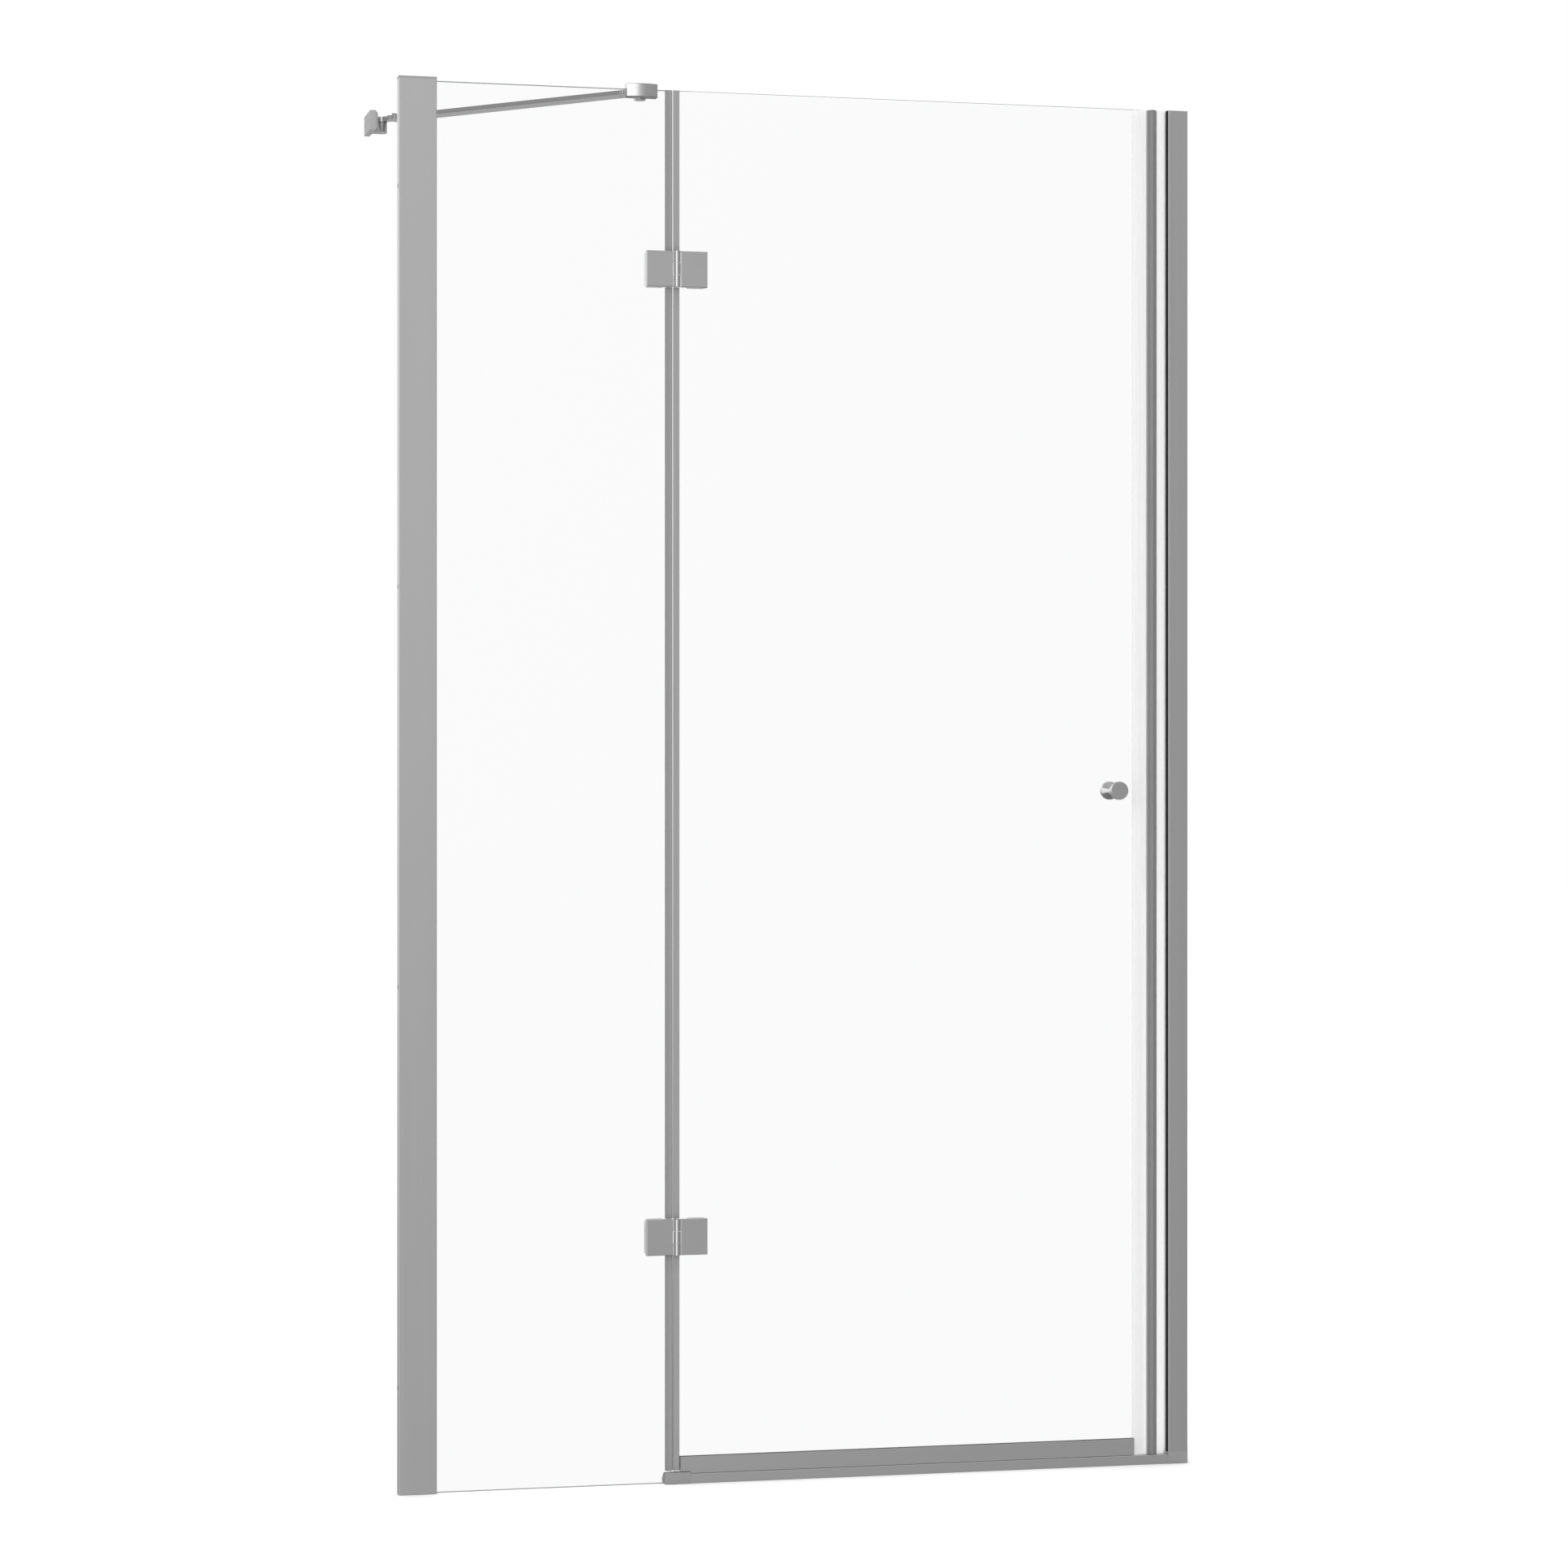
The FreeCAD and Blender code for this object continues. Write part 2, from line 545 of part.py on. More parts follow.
# Hinges
def leaf(side, middle, knuckles, bore_radius):
    """A front plate on one side of the axis, with its knuckles."""
    x0, x1 = sorted((HINGE_AXIS_X + side * LEAF_GAP, HINGE_AXIS_X + side * LEAF_REACH))
    half = HINGE_HEIGHT / 2
    plate = block(x0, x1, LEAF_FRONT, LEAF_BACK, middle - half, middle + half)
    plate = rounded(plate, LEAF_EDGE_RADIUS, lambda p: near(p.y, LEAF_FRONT))
    web_x0, web_x1 = sorted((HINGE_AXIS_X, HINGE_AXIS_X + side * (LEAF_GAP + LEAF_WEB)))
    web_front = LEAF_FRONT + LEAF_EDGE_RADIUS + LEAF_WEB_STEP
    shapes = [plate]
    for z0, z1 in knuckles:
        shapes.append(upright(HINGE_AXIS_X, HINGE_AXIS_Y, z0, z1, KNUCKLE_RADIUS))
        shapes.append(block(web_x0, web_x1, web_front, web_front + LEAF_WEB, z0, z1))
    solid = join(*shapes)
    x = HINGE_AXIS_X + side * CLAMP_SCREW_REACH
    depth = CLAMP_SCREW_GRIP + 2 * FIT
    taps = [along_y(x, z, LEAF_BACK - depth, LEAF_BACK, CLAMP_SCREW_RADIUS + FIT)
            for z in clamp_screw_heights(middle)]
    bore = upright(HINGE_AXIS_X, HINGE_AXIS_Y, middle - half, middle + half, bore_radius)
    return without(solid, bore, *taps)


def clamp_screw(x, z, extra):
    """A countersunk screw from the back plate into the leaf, grown by extra for its hole."""
    radius = CLAMP_SCREW_RADIUS + extra
    head_radius = CLAMP_SCREW_HEAD_RADIUS + extra
    head = V(x, CLAMP_PLATE_BACK, z)
    cone = Part.makeCone(head_radius, radius, head_radius - radius, head, V(0, -1, 0))
    return join(cone, along_y(x, z, LEAF_BACK - CLAMP_SCREW_GRIP, CLAMP_PLATE_BACK, radius))


def clamp_plate(side, middle):
    """The plate behind the glass, with countersunk holes."""
    x0, x1 = sorted((HINGE_AXIS_X + side * (LEAF_REACH - CLAMP_PLATE_WIDTH),
                     HINGE_AXIS_X + side * LEAF_REACH))
    half = HINGE_HEIGHT / 2
    centre = (CLAMP_PLATE_FRONT + CLAMP_PLATE_BACK) / 2
    plate = block(x0, x1, CLAMP_PLATE_FRONT, CLAMP_PLATE_BACK, middle - half, middle + half)
    plate = bevelled(plate, CLAMP_PLATE_CHAMFER, lambda p: near(p.y, centre))
    plate = rounded(plate, LEAF_EDGE_RADIUS, lambda p: near(p.y, CLAMP_PLATE_BACK))
    x = HINGE_AXIS_X + side * CLAMP_SCREW_REACH
    holes = [clamp_screw(x, z, FIT) for z in clamp_screw_heights(middle)]
    return without(plate, *holes)


def clamp_screws(side, middle):
    """The two screws of one leaf, with a round socket in each head."""
    x = HINGE_AXIS_X + side * CLAMP_SCREW_REACH
    screws = []
    socket_end = CLAMP_PLATE_BACK - CLAMP_SCREW_SOCKET_DEPTH
    for z in clamp_screw_heights(middle):
        socket = along_y(x, z, socket_end, CLAMP_PLATE_BACK, CLAMP_SCREW_SOCKET)
        screws.append(without(clamp_screw(x, z, 0), socket))
    return screws


def hinge_pads(side, middle, glass_edge):
    """The soft pads between one pane and its two plates."""
    half = HINGE_HEIGHT / 2 - HINGE_PAD_INSET
    outer = HINGE_AXIS_X + side * (LEAF_REACH - HINGE_PAD_INSET)
    leaf_inner = HINGE_AXIS_X + side * (LEAF_GAP + HINGE_PAD_INSET)
    pane_inner = glass_edge + side * HINGE_PAD_INSET
    front_inner = side * max(side * leaf_inner, side * pane_inner)
    back_inner = HINGE_AXIS_X + side * (LEAF_REACH - CLAMP_PLATE_WIDTH + HINGE_PAD_INSET)
    x = HINGE_AXIS_X + side * CLAMP_SCREW_REACH
    pads = []
    for inner, y0, y1 in ((front_inner, LEAF_BACK, -GLASS_HALF),
                          (back_inner, GLASS_HALF, CLAMP_PLATE_FRONT)):
        x0, x1 = sorted((inner, outer))
        pad = block(x0, x1, y0, y1, middle - half, middle + half)
        holes = [along_y(x, z, y0, y1, CLAMP_HOLE_RADIUS) for z in clamp_screw_heights(middle)]
        pads.append(without(pad, *holes))
    return pads


def hinge_bushes(middle):
    """Two flanged bushes, pressed into the door knuckle from its ends."""
    bushes = []
    for end in (-1, 1):
        face = middle + end * KNUCKLE_LENGTH / 2
        z0, z1 = sorted((middle + end * BUSH_SPACE / 2, face))
        sleeve = upright(HINGE_AXIS_X, HINGE_AXIS_Y, z0, z1, BUSH_RADIUS)
        f0, f1 = sorted((face, face + end * BUSH_FLANGE))
        flange = upright(HINGE_AXIS_X, HINGE_AXIS_Y, f0, f1, KNUCKLE_RADIUS - BUSH_FLANGE_STEP)
        bore = upright(HINGE_AXIS_X, HINGE_AXIS_Y, middle - HINGE_HEIGHT, middle + HINGE_HEIGHT,
                       PIN_RADIUS + FIT)
        bushes.append(without(join(sleeve, flange), bore))
    return bushes


def make_hinge(place, middle):
    half = HINGE_HEIGHT / 2
    inner = KNUCKLE_LENGTH / 2 + KNUCKLE_SPACE
    outer_knuckles = ((middle - half, middle - inner), (middle + inner, middle + half))
    middle_knuckle = ((middle - KNUCKLE_LENGTH / 2, middle + KNUCKLE_LENGTH / 2),)
    pin_bore = PIN_RADIUS + FIT
    bush_bore = BUSH_RADIUS + FIT
    save(place + "_hinge_fixed_leaf", leaf(-1, middle, outer_knuckles, pin_bore))
    save(place + "_hinge_door_leaf", leaf(1, middle, middle_knuckle, bush_bore))
    pin_half = half - PIN_RECESS
    save(place + "_hinge_pin",
         upright(HINGE_AXIS_X, HINGE_AXIS_Y, middle - pin_half, middle + pin_half, PIN_RADIUS))
    save(place + "_hinge_bushes", *hinge_bushes(middle))
    for owner, side, edge in (("fixed", -1, FIXED_GLASS_RIGHT), ("door", 1, DOOR_GLASS_LEFT)):
        save(place + "_hinge_" + owner + "_clamp_plate", clamp_plate(side, middle))
        save(place + "_hinge_" + owner + "_pads", *hinge_pads(side, middle, edge))
        save(place + "_hinge_" + owner + "_screws", *clamp_screws(side, middle))


# Closing edge
def magnet(meet, side, width):
    """A magnet strip's outline: a ridge at the meeting face, falling away to its seal."""
    back = meet - side * width
    points = [(back, -MAGNET_SHOULDER), (meet - side * MAGNET_NOSE, -MAGNET_RIDGE),
              (meet, -MAGNET_RIDGE + MAGNET_NOSE), (meet, MAGNET_BACK - MAGNET_BEVEL),
              (meet - side * MAGNET_BEVEL, MAGNET_BACK), (back, MAGNET_BACK)]
    return prism_z(points, LIP_BOTTOM, RIGHT_PROFILE_TOP)


def make_closing_edge():
    z0, z1 = LIP_BOTTOM, RIGHT_PROFILE_TOP
    save("door_magnet", magnet(STRIKE_X, 1, DOOR_MAGNET_WIDTH))
    strike_face = STRIKE_X + MAGNET_GAP
    save("strike_magnet", magnet(strike_face, -1, STRIKE_MAGNET_WIDTH))
    inner = GLASS_HALF + FIT
    outer = inner + MAGNET_SEAL_WALL
    leg_end = MAGNET_SEAL_LEFT
    floor = DOOR_GLASS_RIGHT + FIT
    drip_room = block(leg_end, DRIP_RIGHT + DRIP_SEAL_GAP, -outer, outer, z0,
                      DRIP_GASKET_TOP + DRIP_SEAL_GAP)
    grip = without(block(leg_end, floor + MAGNET_SEAL_WALL, -outer, outer, z0, z1),
                   block(leg_end, floor, -inner, inner, z0, z1), drip_room)
    magnet_back = STRIKE_X - DOOR_MAGNET_WIDTH
    fin = block(floor, magnet_back, -MAGNET_FIN / 2, MAGNET_FIN / 2, z0, z1)
    shelf = block(magnet_back - MAGNET_SEAL_WALL, magnet_back, -MAGNET_SHOULDER, MAGNET_BACK, z0, z1)
    save("door_magnet_seal", join(grip, fin, shelf))
    strike_back = strike_face + STRIKE_MAGNET_WIDTH
    half = STRIKE_PLATE / 2
    shelf = block(strike_back, strike_back + MAGNET_SEAL_WALL, -MAGNET_SHOULDER, MAGNET_BACK, z0, z1)
    mouth = OPENING_WIDTH - RIGHT_PROFILE_WIDTH
    blade = block(strike_back, mouth - WEDGE_PROUD, -half, half, z0, z1)
    foot = block(strike_back, mouth + STRIKE_FOOT, -half, half, RIGHT_END_HEIGHT, z1)
    save("strike_seal", join(shelf, blade, foot))


# Threshold
def threshold_section(front, back, height, flat, back_height):
    """The outline in Y and Z: an upright front, a flat top and a slope into the shower."""
    return [(front, 0), (front, height), (front + flat, height), (back, back_height), (back, 0)]


def threshold_end(section, x0, x1, spigot_x0, spigot_x1):
    """An end piece with a rounded front and a spigot that slides into the bar."""
    face = min(y for y, z in section)
    inset = THRESHOLD_WALL + SLIDE_CLEARANCE
    end = prism_x(section, x0, x1)
    end = rounded(end, END_EDGE_RADIUS, lambda p: near(p.y, face) and p.z > END_EDGE_RADIUS)
    spigot = block(spigot_x0, spigot_x1, -PROFILE_HALF + inset, -PROFILE_HALF + THRESHOLD_FLAT - inset,
                   inset, THRESHOLD_HEIGHT - inset)
    return join(end, spigot)


def make_threshold():
    front = -PROFILE_HALF
    back = front + THRESHOLD_DEPTH
    wall = THRESHOLD_WALL
    section = threshold_section(front, back, THRESHOLD_HEIGHT, THRESHOLD_FLAT, THRESHOLD_BACK_HEIGHT)
    bar = prism_x(section, THRESHOLD_LEFT, THRESHOLD_RIGHT)
    middle = (THRESHOLD_LEFT + THRESHOLD_RIGHT) / 2
    bar = rounded(bar, THRESHOLD_EDGE_RADIUS,
                  lambda p: near(p.z, THRESHOLD_HEIGHT) and near(p.x, middle))
    cavity = [(front + wall, wall), (front + wall, THRESHOLD_HEIGHT - wall),
              (front + THRESHOLD_FLAT - wall, THRESHOLD_HEIGHT - wall),
              (back - wall, THRESHOLD_BACK_HEIGHT - wall / 2), (back - wall, wall)]
    save("threshold_bar", without(bar, prism_x(cavity, THRESHOLD_LEFT, THRESHOLD_RIGHT)))

    end_front = front - END_PROUD
    end_back = back + END_PROUD
    end_back_height = THRESHOLD_BACK_HEIGHT + END_PROUD
    left = THRESHOLD_LEFT - LEFT_END_WIDTH
    section = threshold_section(end_front, end_back, LEFT_END_HEIGHT, THRESHOLD_FLAT + 2 * END_PROUD,
                                end_back_height)
    end = threshold_end(section, left, THRESHOLD_LEFT, THRESHOLD_LEFT, THRESHOLD_LEFT + END_SPIGOT)
    half = GLASS_HALF + SLIDE_CLEARANCE
    corner = block(left, FIXED_GLASS_RIGHT + SLIDE_CLEARANCE, -half, half, 0, LEFT_END_HEIGHT)
    save("threshold_left_end", without(end, corner))

    section = threshold_section(end_front, end_back, RIGHT_END_HEIGHT, PROFILE_DEPTH + 2 * END_PROUD,
                                end_back_height)
    spigot_left = THRESHOLD_RIGHT - END_SPIGOT
    save("threshold_right_end",
         threshold_end(section, THRESHOLD_RIGHT, OPENING_WIDTH, spigot_left, THRESHOLD_RIGHT))


# Drip profile
def make_drip():
    left = DOOR_GLASS_LEFT + DOOR_SEAL_LEG + DRIP_LEFT_GAP
    right = DRIP_RIGHT
    low_left = THRESHOLD_LEFT + SWING_CLEARANCE
    slot_half = GLASS_HALF + FIT + DRIP_GASKET + FIT
    outer_half = slot_half + DRIP_WALL
    lip_half = DRIP_LIP_THICKNESS / 2
    body = block(left, right, -outer_half, outer_half, DRIP_BOTTOM, DRIP_TOP)
    body = rounded(body, SMALL_ROUND, lambda p: near(p.z, DRIP_TOP) and near(abs(p.y), outer_half))
    glass_slot = block(left, right, -slot_half, slot_half, DRIP_SEAT, DRIP_TOP)
    lip_slot = block(left, right, -lip_half - FIT, lip_half + FIT, DRIP_BOTTOM,
                     DRIP_BOTTOM + DRIP_LIP_SLOT)
    end_room = block(left, low_left, -outer_half, outer_half, DRIP_BOTTOM,
                     LEFT_END_HEIGHT + SWING_CLEARANCE)
    save("door_drip_profile", without(body, glass_slot, lip_slot, end_room))

    gasket_half = slot_half - FIT
    gasket_bottom = DRIP_SEAT + FIT
    gasket = block(left, right, -gasket_half, gasket_half, gasket_bottom, DRIP_GASKET_TOP)
    glass_half = GLASS_HALF + FIT
    seat = gasket_bottom + DRIP_GASKET
    save("door_drip_gasket",
         without(gasket, block(left, right, -glass_half, glass_half, seat, DRIP_GASKET_TOP)))

    lip = block(low_left, right, -lip_half, lip_half, LIP_BOTTOM, DRIP_BOTTOM + DRIP_LIP_SLOT - FIT)
    save("door_drip_lip", lip)


# Knob
def knob(side):
    """A turned knob on one face of the glass: a neck, a flaring flank, a rim and a stud hole."""
    start = GLASS_HALF + KNOB_WASHER
    flank_start = start + KNOB_NECK
    flank_end = flank_start + KNOB_FLANK
    face = flank_end + KNOB_RIM
    y0, y1 = sorted((side * start, side * flank_start))
    neck = along_y(KNOB_X, KNOB_HEIGHT, y0, y1, KNOB_NECK_RADIUS)
    flank = Part.makeCone(KNOB_NECK_RADIUS, KNOB_RADIUS, KNOB_FLANK,
                          V(KNOB_X, side * flank_start, KNOB_HEIGHT), V(0, side, 0))
    y0, y1 = sorted((side * flank_end, side * face))
    rim = along_y(KNOB_X, KNOB_HEIGHT, y0, y1, KNOB_RADIUS)
    turned = join(neck, flank, rim)
    rims = (side * flank_end, side * face)
    turned = rounded(turned, KNOB_EDGE_RADIUS, lambda p: any(near(p.y, y) for y in rims))
    y0, y1 = sorted((side * start, side * (start + KNOB_STUD_GRIP + SLIDE_CLEARANCE)))
    return without(turned, along_y(KNOB_X, KNOB_HEIGHT, y0, y1, KNOB_STUD_RADIUS + FIT))


def make_knob():
    save("knob_outer", knob(-1))
    save("knob_inner", knob(1))
    reach = GLASS_HALF + KNOB_WASHER + KNOB_STUD_GRIP
    save("knob_stud", along_y(KNOB_X, KNOB_HEIGHT, -reach, reach, KNOB_STUD_RADIUS))
    washers = []
    for y0, y1 in ((-GLASS_HALF - KNOB_WASHER, -GLASS_HALF), (GLASS_HALF, GLASS_HALF + KNOB_WASHER)):
        ring = along_y(KNOB_X, KNOB_HEIGHT, y0, y1, KNOB_NECK_RADIUS)
        hole = along_y(KNOB_X, KNOB_HEIGHT, y0, y1, KNOB_STUD_RADIUS + FIT)
        washers.append(without(ring, hole))
    save("knob_washers", *washers)


# Brace
def on_brace(shape):
    """Move a shape drawn along +X from the glass pivot to its place on the brace."""
    moved = shape.copy()
    moved.rotate(V(0, 0, 0), V(0, 0, 1), BRACE_ANGLE)
    moved.translate(V(BRACE_CLAMP_X, BRACE_PIVOT_Y, 0))
    return moved


def brace_tongue(x0, x1):
    """The part of an end that goes into the bar."""
    middle = (BRACE_BOTTOM + BRACE_TOP) / 2
    half_width = BRACE_TONGUE_WIDTH / 2
    half = BRACE_TONGUE_THICKNESS / 2
    return block(x0, x1, -half_width, half_width, middle - half, middle + half)


def brace_glass_end():
    """An eye round the glass pivot, a neck, a grooved collar as wide as the bar, and a tongue."""
    eye = upright(0, 0, BRACE_BOTTOM, BRACE_TOP, BRACE_EYE_RADIUS)
    neck = block(0, BRACE_NECK, -BRACE_EYE_RADIUS, BRACE_EYE_RADIUS, BRACE_BOTTOM, BRACE_TOP)
    half = BRACE_WIDTH / 2
    collar = block(BRACE_COLLAR_START, BRACE_NECK, -half, half, BRACE_BOTTOM, BRACE_TOP)
    tongue = brace_tongue(BRACE_NECK, BRACE_NECK + BRACE_TONGUE)
    tools = [upright(0, 0, BRACE_BOTTOM, BRACE_TOP, BRACE_PIN_RADIUS + FIT),
             upright(BRACE_NECK + BRACE_TONGUE / 2, 0, BRACE_BOTTOM, BRACE_TOP, BAR_SCREW_RADIUS + FIT)]
    floor = half - BRACE_GROOVE_DEPTH
    for x in BRACE_GROOVE_PLACES:
        for y0, y1 in ((-half, -floor), (floor, half)):
            tools.append(block(x, x + BRACE_GROOVE, y0, y1, BRACE_BOTTOM, BRACE_TOP))
    return without(join(eye, neck, collar, tongue), *tools)


def brace_wall_end():
    """An eye round the wall pivot, its neck, a shouldered collar with a raised ring, and a tongue."""
    pin = BRACE_RUN
    bar_end = pin - BRACE_WALL_NECK
    collar_end = pin - BRACKET_COLLAR_START
    half = BRACE_WIDTH / 2
    ring_half = half + BRACKET_RING_PROUD
    ring_top = BRACE_TOP + BRACKET_RING_RISE
    neck_half = BRACKET_NECK_WIDTH / 2
    eye = upright(pin, 0, BRACE_BOTTOM, BRACKET_EYE_TOP, BRACKET_EYE_RADIUS)
    neck = block(collar_end, pin, -neck_half, neck_half, BRACE_BOTTOM, BRACKET_EYE_TOP)
    collar = block(bar_end, collar_end, -half, half, BRACE_BOTTOM, BRACE_TOP)
    collar = rounded(collar, BRACKET_SHOULDER_RADIUS,
                     lambda p: near(p.x, collar_end) and near(abs(p.y), half))
    ring = block(pin - BRACKET_RING_END, pin - BRACKET_RING_START, -ring_half, ring_half,
                 BRACE_BOTTOM, ring_top)
    ring = rounded(ring, SMALL_ROUND, lambda p: near(p.z, ring_top))
    tongue = brace_tongue(bar_end - BRACE_TONGUE, bar_end)
    screw_x = bar_end - BRACE_TONGUE / 2
    return without(join(eye, neck, collar, ring, tongue),
                   upright(pin, 0, BRACE_BOTTOM, BRACKET_EYE_TOP, BRACE_PIN_RADIUS + FIT),
                   upright(screw_x, 0, BRACE_BOTTOM, BRACE_TOP, BAR_SCREW_RADIUS + FIT))


def bar_screw(x, extra):
    """A countersunk screw up through the bar and a tongue, grown by extra for its hole."""
    radius = BAR_SCREW_RADIUS + extra
    head_radius = BAR_SCREW_HEAD_RADIUS + extra
    cone = Part.makeCone(head_radius, radius, head_radius - radius, V(x, 0, BRACE_BOTTOM))
    tip = (BRACE_BOTTOM + BRACE_TOP + BRACE_TONGUE_THICKNESS) / 2
    return join(cone, upright(x, 0, BRACE_BOTTOM, tip, radius))


def make_brace_bar():
    x0 = BRACE_NECK
    x1 = BRACE_RUN - BRACE_WALL_NECK
    bar = block(x0, x1, -BRACE_WIDTH / 2, BRACE_WIDTH / 2, BRACE_BOTTOM, BRACE_TOP)
    bar = rounded(bar, SMALL_ROUND, lambda p: near(abs(p.y), BRACE_WIDTH / 2))
    middle = (BRACE_BOTTOM + BRACE_TOP) / 2
    half_width = BRACE_TONGUE_WIDTH / 2 + FIT
    half = BRACE_TONGUE_THICKNESS / 2 + FIT
    depth = BRACE_TONGUE + SLIDE_CLEARANCE
    pockets = [block(x0, x0 + depth, -half_width, half_width, middle - half, middle + half),
               block(x1 - depth, x1, -half_width, half_width, middle - half, middle + half)]
    screw_places = (x0 + BRACE_TONGUE / 2, x1 - BRACE_TONGUE / 2)
    bar = without(bar, *pockets, *[bar_screw(x, FIT) for x in screw_places])
    save("brace_bar", on_brace(bar))
    save("brace_bar_screws", *[on_brace(bar_screw(x, 0)) for x in screw_places])
    save("brace_glass_end", on_brace(brace_glass_end()))
    save("brace_wall_end", on_brace(brace_wall_end()))


def eye_room():
    """The space round the eye at the glass and its neck, drawn along the brace."""
    radius = BRACE_EYE_RADIUS + SWING_CLEARANCE
    low = BRACE_BOTTOM - SLIDE_CLEARANCE
    high = BRACE_TOP + SLIDE_CLEARANCE
    corridor = block(0, BRACE_NECK + BRACE_BOSS_RADIUS, -radius, radius, low, high)
    return join(upright(0, 0, low, high, radius), corridor)


def make_brace_clamp():
    half_width = BRACE_CLAMP_WIDTH / 2
    left = BRACE_CLAMP_X - half_width
    right = BRACE_CLAMP_X + half_width
    slot_half = GLASS_HALF + BRACE_LINER
    side_front = -slot_half - BRACE_FRONT_JAW
    rear = slot_half + BRACE_BACK_JAW
    z0 = BRACE_CLAMP_BOTTOM
    z1 = BRACE_CLAMP_TOP
    front_left = V(left, side_front, z0)
    front_right = V(right, side_front, z0)
    crown = V(BRACE_CLAMP_X, side_front - BRACE_CLAMP_BULGE, z0)
    outline = [front_right, V(right, rear, z0), V(left, rear, z0), front_left]
    edges = [Part.Arc(front_left, crown, front_right).toShape()]
    for start, end in zip(outline, outline[1:]):
        edges.append(Part.LineSegment(start, end).toShape())
    body = Part.Face(Part.Wire(edges)).extrude(V(0, 0, z1 - z0))
    body = rounded(body, BRACE_CLAMP_TOP_RADIUS, lambda p: near(p.z, z1) and p.y < side_front)
    body = rounded(body, BRACE_CLAMP_FOOT_RADIUS, lambda p: near(p.z, z0) and p.y < side_front)
    boss = upright(BRACE_CLAMP_X, BRACE_PIVOT_Y, z0, z1, BRACE_BOSS_RADIUS)
    body = join(body, boss)
    slot_top = GLASS_TOP + BRACE_LINER
    slot = block(left, right, -slot_half, slot_half, z0, slot_top)
    pin_top = z1 - BRACE_PIN_COVER
    pin_hole = upright(BRACE_CLAMP_X, BRACE_PIVOT_Y, z0, pin_top, BRACE_PIN_RADIUS + FIT)
    grub_places = (left + GRUB_SCREW_EDGE, right - GRUB_SCREW_EDGE)
    grub_z = z0 + GRUB_SCREW_SETBACK
    grub_holes = [along_y(x, grub_z, slot_half, rear, GRUB_SCREW_RADIUS + FIT) for x in grub_places]
    save("brace_glass_clamp", without(body, slot, on_brace(eye_room()), pin_hole, *grub_holes))
    grub_end = rear - SLIDE_CLEARANCE
    save("brace_clamp_grub_screws",
         *[along_y(x, grub_z, slot_half - FIT, grub_end, GRUB_SCREW_RADIUS) for x in grub_places])

    liner = block(left, right, -slot_half + FIT, slot_half - FIT, z0, slot_top - FIT)
    glass_half = GLASS_HALF + FIT
    glass_room = block(left, right, -glass_half, glass_half, z0, GLASS_TOP + FIT)
    save("brace_clamp_liner", without(liner, glass_room))

    head_z = z0 - BRACE_HEAD
    shaft = upright(BRACE_CLAMP_X, BRACE_PIVOT_Y, head_z, pin_top - SLIDE_CLEARANCE, BRACE_PIN_RADIUS)
    head = upright(BRACE_CLAMP_X, BRACE_PIVOT_Y, head_z, z0, BRACE_HEAD_RADIUS)
    head = rounded(head, SMALL_ROUND, lambda p: near(p.z, head_z))
    save("brace_glass_pivot", join(shaft, head))


def make_wall_bracket():
    """A plate on the wall, and a lug with a tapered slot in front that shows the pivot pin."""
    x = BRACKET_PIN_X
    y = BRACKET_PIN_Y
    half = BRACKET_LENGTH / 2
    z1 = BRACE_TOP + BRACKET_ABOVE_BAR
    z0 = z1 - BRACKET_HEIGHT
    lug_top = BRACE_BOTTOM - SLIDE_CLEARANCE
    lug_bottom = z0 - BRACKET_LUG_DROP
    base = block(0, BRACKET_THICKNESS, y - half, y + half, z0, z1)
    base = bevelled(base, BRACKET_BEVEL, lambda p: near(p.x, BRACKET_THICKNESS))
    lug = upright(x, y, lug_bottom, lug_top, BRACKET_LUG_RADIUS)
    root = BRACKET_THICKNESS / 2
    web = block(root, x, y - BRACKET_LUG_RADIUS, y + BRACKET_LUG_RADIUS, lug_bottom, lug_top)
    arm = join(lug, web)
    arm = rounded(arm, BRACKET_LUG_ROUND, lambda p: near(p.z, lug_bottom) and p.x > root + FIT)
    pin_bottom = lug_bottom + BRACE_PIN_COVER
    hole_z = (z0 + z1) / 2
    slot_bottom = lug_top - BRACKET_SLOT_HEIGHT
    slot = [(x - BRACKET_SLOT_TOP / 2, lug_top), (x + BRACKET_SLOT_TOP / 2, lug_top),
            (x + BRACKET_SLOT_BOTTOM / 2, slot_bottom), (x - BRACKET_SLOT_BOTTOM / 2, slot_bottom)]
    tools = [upright(x, y, pin_bottom, lug_top, BRACE_PIN_RADIUS + FIT),
             prism_y(slot, y - BRACKET_LUG_RADIUS, y - BRACKET_SLOT_BACK)]
    for hole_y in (y - BRACKET_HOLE_SPREAD / 2, y + BRACKET_HOLE_SPREAD / 2):
        tools.append(along_x(hole_y, hole_z, 0, BRACKET_THICKNESS, BRACKET_HOLE_RADIUS))
        tools.append(along_x(hole_y, hole_z, BRACKET_THICKNESS - BRACKET_COUNTERBORE, BRACKET_THICKNESS,
                             BRACKET_COUNTERBORE_RADIUS))
    save("brace_wall_bracket", without(join(base, arm), *tools))

    pin = upright(x, y, pin_bottom + SLIDE_CLEARANCE, BRACKET_EYE_TOP, BRACE_PIN_RADIUS)
    save("brace_wall_pivot", rounded(pin, SMALL_ROUND, lambda p: near(p.z, BRACKET_EYE_TOP)))


os.makedirs("parts", exist_ok=True)
make_left_profile()
make_fixed_glass()
for hinge_place, hinge_middle in HINGE_MIDDLES.items():
    make_hinge(hinge_place, hinge_middle)
make_brace_clamp()
make_brace_bar()
make_wall_bracket()
make_threshold()
make_right_profile()
make_closing_edge()
make_door_glass()
make_drip()
make_knob()
